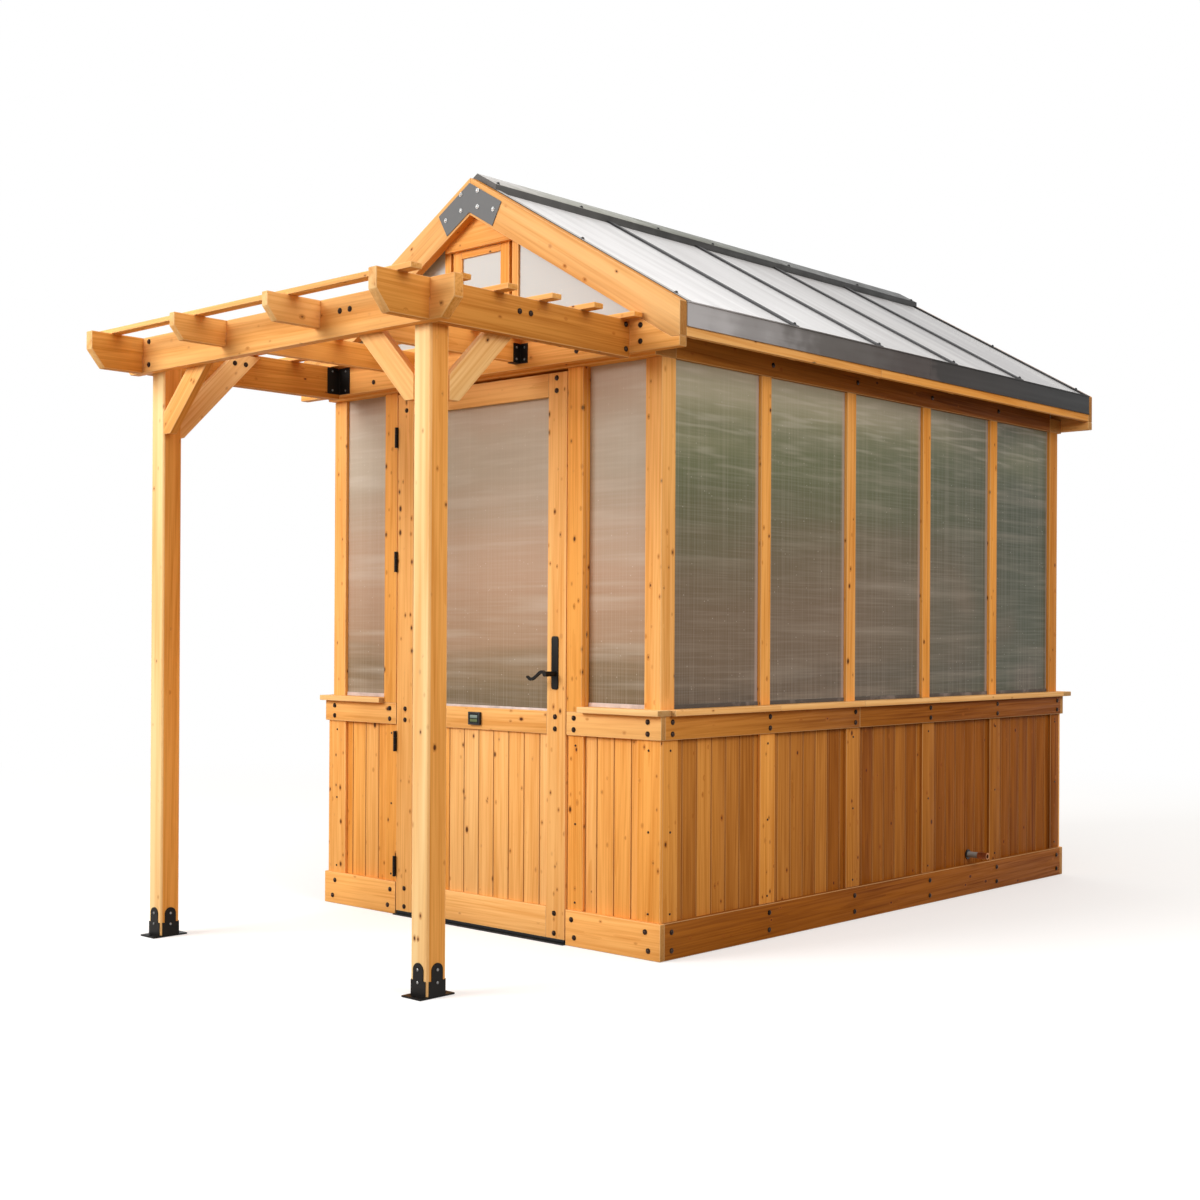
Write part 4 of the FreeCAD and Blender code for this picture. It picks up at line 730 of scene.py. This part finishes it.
def fastener_head(radius, thickness, lift, steps):
    """A round blank whose top is drawn in, then moved up or down, or pushed out with walls, step by step."""
    bpy.ops.object.select_all(action="DESELECT")
    bpy.ops.mesh.primitive_cylinder_add(vertices=12, radius=radius, depth=thickness,
                                        location=(0.0, 0.0, lift))
    head = bpy.context.object
    edit_faces(head, lambda face: face.normal.z > SQUARE_ON)
    for way, amount in steps:
        if way == "draw in":
            bpy.ops.mesh.inset(thickness=amount)
        elif way == "move":
            bpy.ops.transform.translate(value=(0.0, 0.0, amount))
        else:
            bpy.ops.mesh.extrude_region_move(TRANSFORM_OT_translate={"value": (0.0, 0.0, amount)})
    bpy.ops.object.mode_set(mode="OBJECT")
    bpy.ops.object.transform_apply(location=True, rotation=True, scale=True)
    return head


def domed_nail():
    """A round nail head, 8 mm across, slightly domed."""
    return fastener_head(radius=0.004, thickness=0.0016, lift=0.0005,
                         steps=(("draw in", 0.0015), ("move", 0.0006), ("draw in", 0.0013), ("move", 0.0002)))


def pan_screw():
    """A pan-head screw, 9 mm across, with a round drive recess."""
    return fastener_head(radius=0.0045, thickness=0.002, lift=0.0007,
                         steps=(("draw in", 0.0012), ("move", 0.0010), ("draw in", 0.0016), ("move", 0.0002),
                                ("push", -0.0012)))


def roof_screw():
    """A roofing screw: a round head on a round sealing washer, 16 mm across."""
    return fastener_head(radius=0.008, thickness=0.002, lift=0.0008,
                         steps=(("draw in", 0.0034), ("push", 0.0035), ("draw in", 0.0010), ("move", 0.0006)))


def set_in_place(head, name, places, finish, body):
    """Copies of one head, each at its place and facing its own way, joined into one piece."""
    copies = []
    for where, facing in places:
        copy = bpy.data.objects.new(name, head.data.copy())
        bpy.context.scene.collection.objects.link(copy)
        turn = Vector((0.0, 0.0, 1.0)).rotation_difference(Vector(facing)).to_matrix().to_4x4()
        copy.data.transform(Matrix.Translation(Vector(where)) @ turn)
        copies.append(copy)
    bpy.ops.object.select_all(action="DESELECT")
    for copy in copies:
        copy.select_set(True)
    bpy.context.view_layer.objects.active = copies[0]
    bpy.ops.object.join()
    piece = bpy.context.object
    piece.name = name
    piece.data.materials.clear()
    piece.data.materials.append(finish)
    bpy.ops.object.shade_smooth_by_angle(angle=math.radians(50))
    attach(piece, body)
    bpy.data.objects.remove(head)


# Nails: three up the middle of each cover batten.
NAIL_HEIGHTS = (0.150, 0.420, 0.690)
nail_places = []
for low, high, _, through in board_places["wall_battens"]:
    middle = (low + high) / 2.0
    if abs(through.x) > SQUARE_ON:
        outward = Vector((math.copysign(1.0, middle.x), 0.0, 0.0))
    else:
        outward = Vector((0.0, math.copysign(1.0, middle.y - HOUSE_MIDDLE.y), 0.0))
    reach = (high - low).dot(Vector([abs(part) for part in outward])) / 2.0
    for height in NAIL_HEIGHTS:
        nail_places.append((Vector((middle.x, middle.y, height)) + outward * reach, outward))
set_in_place(domed_nail(), "batten_nails", nail_places, bronze, "house")

# Screws: two in each leg of each porch bracket, and two up each strap of each post base. The brackets at the
# corners are farther out than the others.
CORNER_OUT = 0.5
BRACKET_SHEET = 0.003
LEG_SHARE = 0.62
SCREW_FROM_END = 0.014
screw_places = []
for low, high, _, _ in board_places["pergola_brackets"]:
    side = math.copysign(1.0, low.x)
    corner = abs(low.x + high.x) / 2.0 > CORNER_OUT
    inner, outer = sorted((abs(low.x), abs(high.x)))
    joist_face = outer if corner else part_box("pergola_rafters")[1].x
    leg_end = inner if corner else outer
    leg_middle = joist_face + LEG_SHARE * (leg_end - joist_face)
    leg_depth = high.y + LEG_SHARE * (low.y - high.y)
    joist_side = joist_face + (-BRACKET_SHEET if corner else BRACKET_SHEET)
    for height in (low.z + SCREW_FROM_END, high.z - SCREW_FROM_END):
        screw_places.append(((side * leg_middle, high.y - BRACKET_SHEET, height), (0.0, -1.0, 0.0)))
        screw_places.append(((side * joist_side, leg_depth, height), (-side if corner else side, 0.0, 0.0)))
POST_MIDDLE = Vector((0.703, -0.851, 0.0))
STRAP_FACE = 0.041
STRAP_SCREW_HEIGHTS = (0.044, 0.082)
for side in (-1.0, 1.0):
    post = Vector((side * POST_MIDDLE.x, POST_MIDDLE.y, 0.0))
    for facing in (Vector((1, 0, 0)), Vector((-1, 0, 0)), Vector((0, 1, 0)), Vector((0, -1, 0))):
        for height in STRAP_SCREW_HEIGHTS:
            screw_places.append((post + facing * STRAP_FACE + Vector((0.0, 0.0, height)), facing))
set_in_place(pan_screw(), "bracket_and_strap_screws", screw_places, dull_zinc, "house")

# Roofing screws: along both wings of the ridge cap, at the foot of each glazing bar, and on the rake trims.
RIDGE_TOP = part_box("ridge_cap")[1].z
CAP_SLOPE = 56.0 / 98.0
RAKE_PEAK = 2.722
ROOF_SLOPE = math.tan(math.radians(30.0))
# Places of the screws, out from the ridge line and back from the front wall, and how far the bars and trims
# stand over the line of the rakes.
CAP_SCREW_OUT = 0.086
CAP_SCREW_BACK = (0.010, 0.449, 0.897, 1.246, 1.780, 2.316, 2.780)
BAR_SCREW_OUT = 0.976
BAR_SCREW_BACK = [FIRST_POST + BAY * i for i in (1, 2, 3, 4)]
BAR_TOP = 0.0046
TRIM_SCREW_OUT = (0.515, 0.934)
TRIM_SCREW_BACK = (0.0, HOUSE_DEPTH)
TRIM_TOP = 0.0034
roof_places = []
for side in (-1.0, 1.0):
    wing = Vector((side * CAP_SLOPE, 0.0, 1.0)).normalized()
    slope = Vector((side * ROOF_SLOPE, 0.0, 1.0)).normalized()
    for back in CAP_SCREW_BACK:
        height = RIDGE_TOP - CAP_SCREW_OUT * CAP_SLOPE
        roof_places.append(((side * CAP_SCREW_OUT, back, height), wing))
    for back in BAR_SCREW_BACK:
        height = RAKE_PEAK - BAR_SCREW_OUT * ROOF_SLOPE + BAR_TOP
        roof_places.append(((side * BAR_SCREW_OUT, back, height), slope))
    for back in TRIM_SCREW_BACK:
        for out in TRIM_SCREW_OUT:
            height = RAKE_PEAK - out * ROOF_SLOPE + TRIM_TOP
            roof_places.append(((side * out, back, height), slope))
set_in_place(roof_screw(), "roof_screws", roof_places, charcoal, "house")


def rounded_lock_plates():
    """The two long plates behind the levers: round-cornered, with a domed rim."""
    source = frame["nodes"]["lock_plates"]
    plates = bpy.data.objects.new("rounded_lock_plates", source.data.copy())
    bpy.context.scene.collection.objects.link(plates)
    only(plates)
    bpy.ops.mesh.customdata_custom_splitnormals_clear()
    bpy.ops.object.mode_set(mode="EDIT")
    bpy.ops.mesh.select_all(action="SELECT")
    bpy.ops.mesh.remove_doubles(threshold=SAME_CORNER)
    bpy.ops.mesh.dissolve_limited(angle_limit=SAME_PLANE)
    bpy.ops.mesh.select_mode(type="EDGE")
    bpy.ops.mesh.select_all(action="DESELECT")
    bpy.ops.object.mode_set(mode="OBJECT")
    low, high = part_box("lock_plates")
    near = 0.0001
    corner_radius = 0.009
    rim_radius = 0.0018
    mesh = plates.data
    for edge in mesh.edges:
        a, b = [mesh.vertices[i].co for i in edge.vertices]
        at_side = min(abs(a.x - low.x), abs(a.x - high.x)) < near
        at_end = min(abs(a.z - low.z), abs(a.z - high.z)) < near
        edge.select = at_side and at_end and abs(a.x - b.x) < near and abs(a.z - b.z) < near
    bpy.ops.object.mode_set(mode="EDIT")
    bpy.ops.mesh.bevel(offset=corner_radius, segments=5)
    bpy.ops.object.mode_set(mode="OBJECT")
    rim = plates.modifiers.new("domed rim", "BEVEL")
    rim.width = rim_radius
    rim.segments = 3
    rim.limit_method = "ANGLE"
    rim.angle_limit = math.radians(50)
    bpy.ops.object.modifier_apply(modifier=rim.name)
    bpy.ops.object.shade_smooth_by_angle(angle=math.radians(40))
    mesh.materials.clear()
    mesh.materials.append(black)
    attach(plates, source["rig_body"])
    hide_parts("lock_plates")


rounded_lock_plates()


BEAD_MIDDLE = (0.0, 0.011, 0.809)
BEAD_SIZE = (0.710, 0.008, 0.008)


def door_glazing_bead():
    """The pale strip along the foot of the door's pane, with a sloped and eased front."""
    bpy.ops.object.select_all(action="DESELECT")
    bpy.ops.mesh.primitive_cube_add(size=1.0, location=BEAD_MIDDLE)
    bead = bpy.context.object
    bead.scale = BEAD_SIZE
    bpy.ops.object.transform_apply(location=True, rotation=True, scale=True)
    # The top is narrower than the foot and set back, so the front slopes.
    edit_faces(bead, lambda face: face.normal.z > SQUARE_ON)
    bpy.ops.transform.resize(value=(1.0, 0.55, 1.0))
    bpy.ops.transform.translate(value=(0.0, 0.0018, 0.0))
    bpy.ops.object.mode_set(mode="OBJECT")
    ease = bead.modifiers.new("eased edges", "BEVEL")
    ease.width = 0.0012
    ease.segments = 2
    bpy.ops.object.modifier_apply(modifier=ease.name)
    bpy.ops.object.shade_smooth_by_angle(angle=math.radians(35))
    bead.name = "door_pane_bead"
    bead.data.materials.append(channel_pvc)
    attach(bead, "door")


door_glazing_bead()


def thermometer_screen():
    """The thermometer's screen: a flat surround 4 mm wide, with the panel set back in it."""
    low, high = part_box("thermometer_display")
    surround_width = 0.004
    set_back = 0.0004
    bpy.ops.object.select_all(action="DESELECT")
    bpy.ops.mesh.primitive_cube_add(size=1.0, location=(low + high) / 2.0)
    screen = bpy.context.object
    screen.scale = high - low
    bpy.ops.object.transform_apply(location=True, rotation=True, scale=True)
    edit_faces(screen, lambda face: face.normal.y < -SQUARE_ON)
    bpy.ops.mesh.inset(thickness=surround_width)
    bpy.ops.transform.translate(value=(0.0, set_back, 0.0))
    bpy.ops.object.mode_set(mode="OBJECT")
    surround = []
    for face in screen.data.polygons:
        panel = face.select and face.normal.y < -SQUARE_ON
        surround.append(0.0 if panel else 1.0)
    screen.data.attributes.new("surround", "FLOAT", "FACE").data.foreach_set("value", surround)
    screen.name = "thermometer_screen"
    screen.data.materials.append(liquid_crystal(low.z, high.z))
    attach(screen, "door")
    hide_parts("thermometer_display")


thermometer_screen()


def seen_directly(tree):
    """One for rays from the camera, from a reflection or through a clear sheet; nought for all others."""
    path = add_node(tree, "LightPath")
    seen = add_node(tree, "Math", {0: path.outputs["Is Camera Ray"], 1: path.outputs["Is Glossy Ray"]},
                    operation="MAXIMUM").outputs[0]
    return add_node(tree, "Math", {0: seen, 1: path.outputs["Is Transmission Ray"]},
                    operation="MAXIMUM").outputs[0]


def stage_floor():
    """A pale floor that keeps the shadow near the greenhouse and fades to white far off."""
    bpy.ops.object.select_all(action="DESELECT")
    bpy.ops.mesh.primitive_circle_add(vertices=96, radius=60.0, fill_type="NGON", location=(0.0, 1.0, -0.001))
    floor = bpy.context.object
    floor.name = "studio_floor"
    paper, tree = new_finish("studio_paper")
    place = add_node(tree, "TexCoord").outputs["Object"]
    far = add_node(tree, "VectorMath", {0: place}, operation="LENGTH").outputs["Value"]
    fade = add_node(tree, "MapRange", {0: far, 1: 3.0, 2: 8.0}, interpolation_type="SMOOTHSTEP").outputs[0]
    seen = seen_directly(tree)
    dim = add_node(tree, "BsdfDiffuse", {"Color": linear("#8C8272")}).outputs[0]
    matt = add_node(tree, "BsdfDiffuse", {"Color": linear("#D8D8D8")}).outputs[0]
    glow = add_node(tree, "Emission", {"Strength": 0.36}).outputs[0]
    near = add_node(tree, "AddShader", {0: matt, 1: glow}).outputs[0]
    white = add_node(tree, "Emission", {"Strength": 1.0}).outputs[0]
    paper_look = add_node(tree, "MixShader", {0: fade, 1: near, 2: white}).outputs[0]
    mixed = add_node(tree, "MixShader", {0: seen, 1: dim, 2: paper_look}).outputs[0]
    add_node(tree, "OutputMaterial", {"Surface": mixed})
    floor.data.materials.append(paper)


def studio_light():
    """A large soft key lamp at the front left, a weaker one at the right, and an even warm surround."""
    world = bpy.data.worlds.new("studio")
    bpy.context.scene.world = world
    world.use_nodes = True
    tree = world.node_tree
    tree.nodes.clear()
    seen = seen_directly(tree)
    way = add_node(tree, "TexCoord").outputs["Generated"]
    rise = add_node(tree, "SeparateXYZ", {0: way}).outputs["Z"]
    overhead = add_node(tree, "MapRange", {0: rise, 1: 0.0, 2: 1.0}).outputs[0]
    soft = add_node(tree, "Mix", {0: overhead, 6: linear("#A08864"), 7: linear("#FFFFFF")},
                    data_type="RGBA").outputs[2]
    fill = add_node(tree, "Background", {"Color": soft, "Strength": 1.0}).outputs[0]
    white = add_node(tree, "Background", {"Color": (1.0, 1.0, 1.0, 1.0), "Strength": 1.0}).outputs[0]
    mixed = add_node(tree, "MixShader", {0: seen, 1: fill, 2: white}).outputs[0]
    add_node(tree, "OutputWorld", {"Surface": mixed})

    for name, place, power in (("key_lamp", (-3.2, -7.5, 4.6), 670.0),
                               ("side_lamp", (8.5, -0.5, 5.2), 310.0)):
        lamp = bpy.data.lights.new(name, "AREA")
        lamp.shape = "RECTANGLE"
        lamp.size = 5.0
        lamp.size_y = 4.0
        lamp.energy = power
        panel = bpy.data.objects.new(name, lamp)
        bpy.context.scene.collection.objects.link(panel)
        panel.location = place
        panel.rotation_euler = (HOUSE_MIDDLE - panel.location).to_track_quat("-Z", "Y").to_euler()


def photograph_camera():
    """The camera, worked out from the photograph: 49.45 mm on a 36 mm frame, level, turned 42.7 degrees."""
    yaw = math.radians(42.72)
    pitch = math.radians(0.08)
    roll = math.radians(0.31)
    ahead = Vector((-math.sin(yaw) * math.cos(pitch), math.cos(yaw) * math.cos(pitch), math.sin(pitch)))
    level = Vector((math.cos(yaw), math.sin(yaw), 0.0))
    upright = level.cross(ahead)
    right = level * math.cos(roll) + upright * math.sin(roll)
    up = right.cross(ahead)
    lens = bpy.data.cameras.new("camera")
    lens.sensor_width = 36.0
    lens.lens = 49.45
    lens.shift_x = 0.0040
    lens.shift_y = 0.0255
    lens.clip_end = 200.0
    camera = bpy.data.objects.new("camera", lens)
    bpy.context.scene.collection.objects.link(camera)
    camera.location = (4.381, -4.112, 1.078)
    camera.rotation_euler = Matrix((right, up, -ahead)).transposed().to_euler()
    bpy.context.scene.camera = camera


stage_floor()
studio_light()
photograph_camera()
bpy.context.scene.view_settings.view_transform = "Standard"
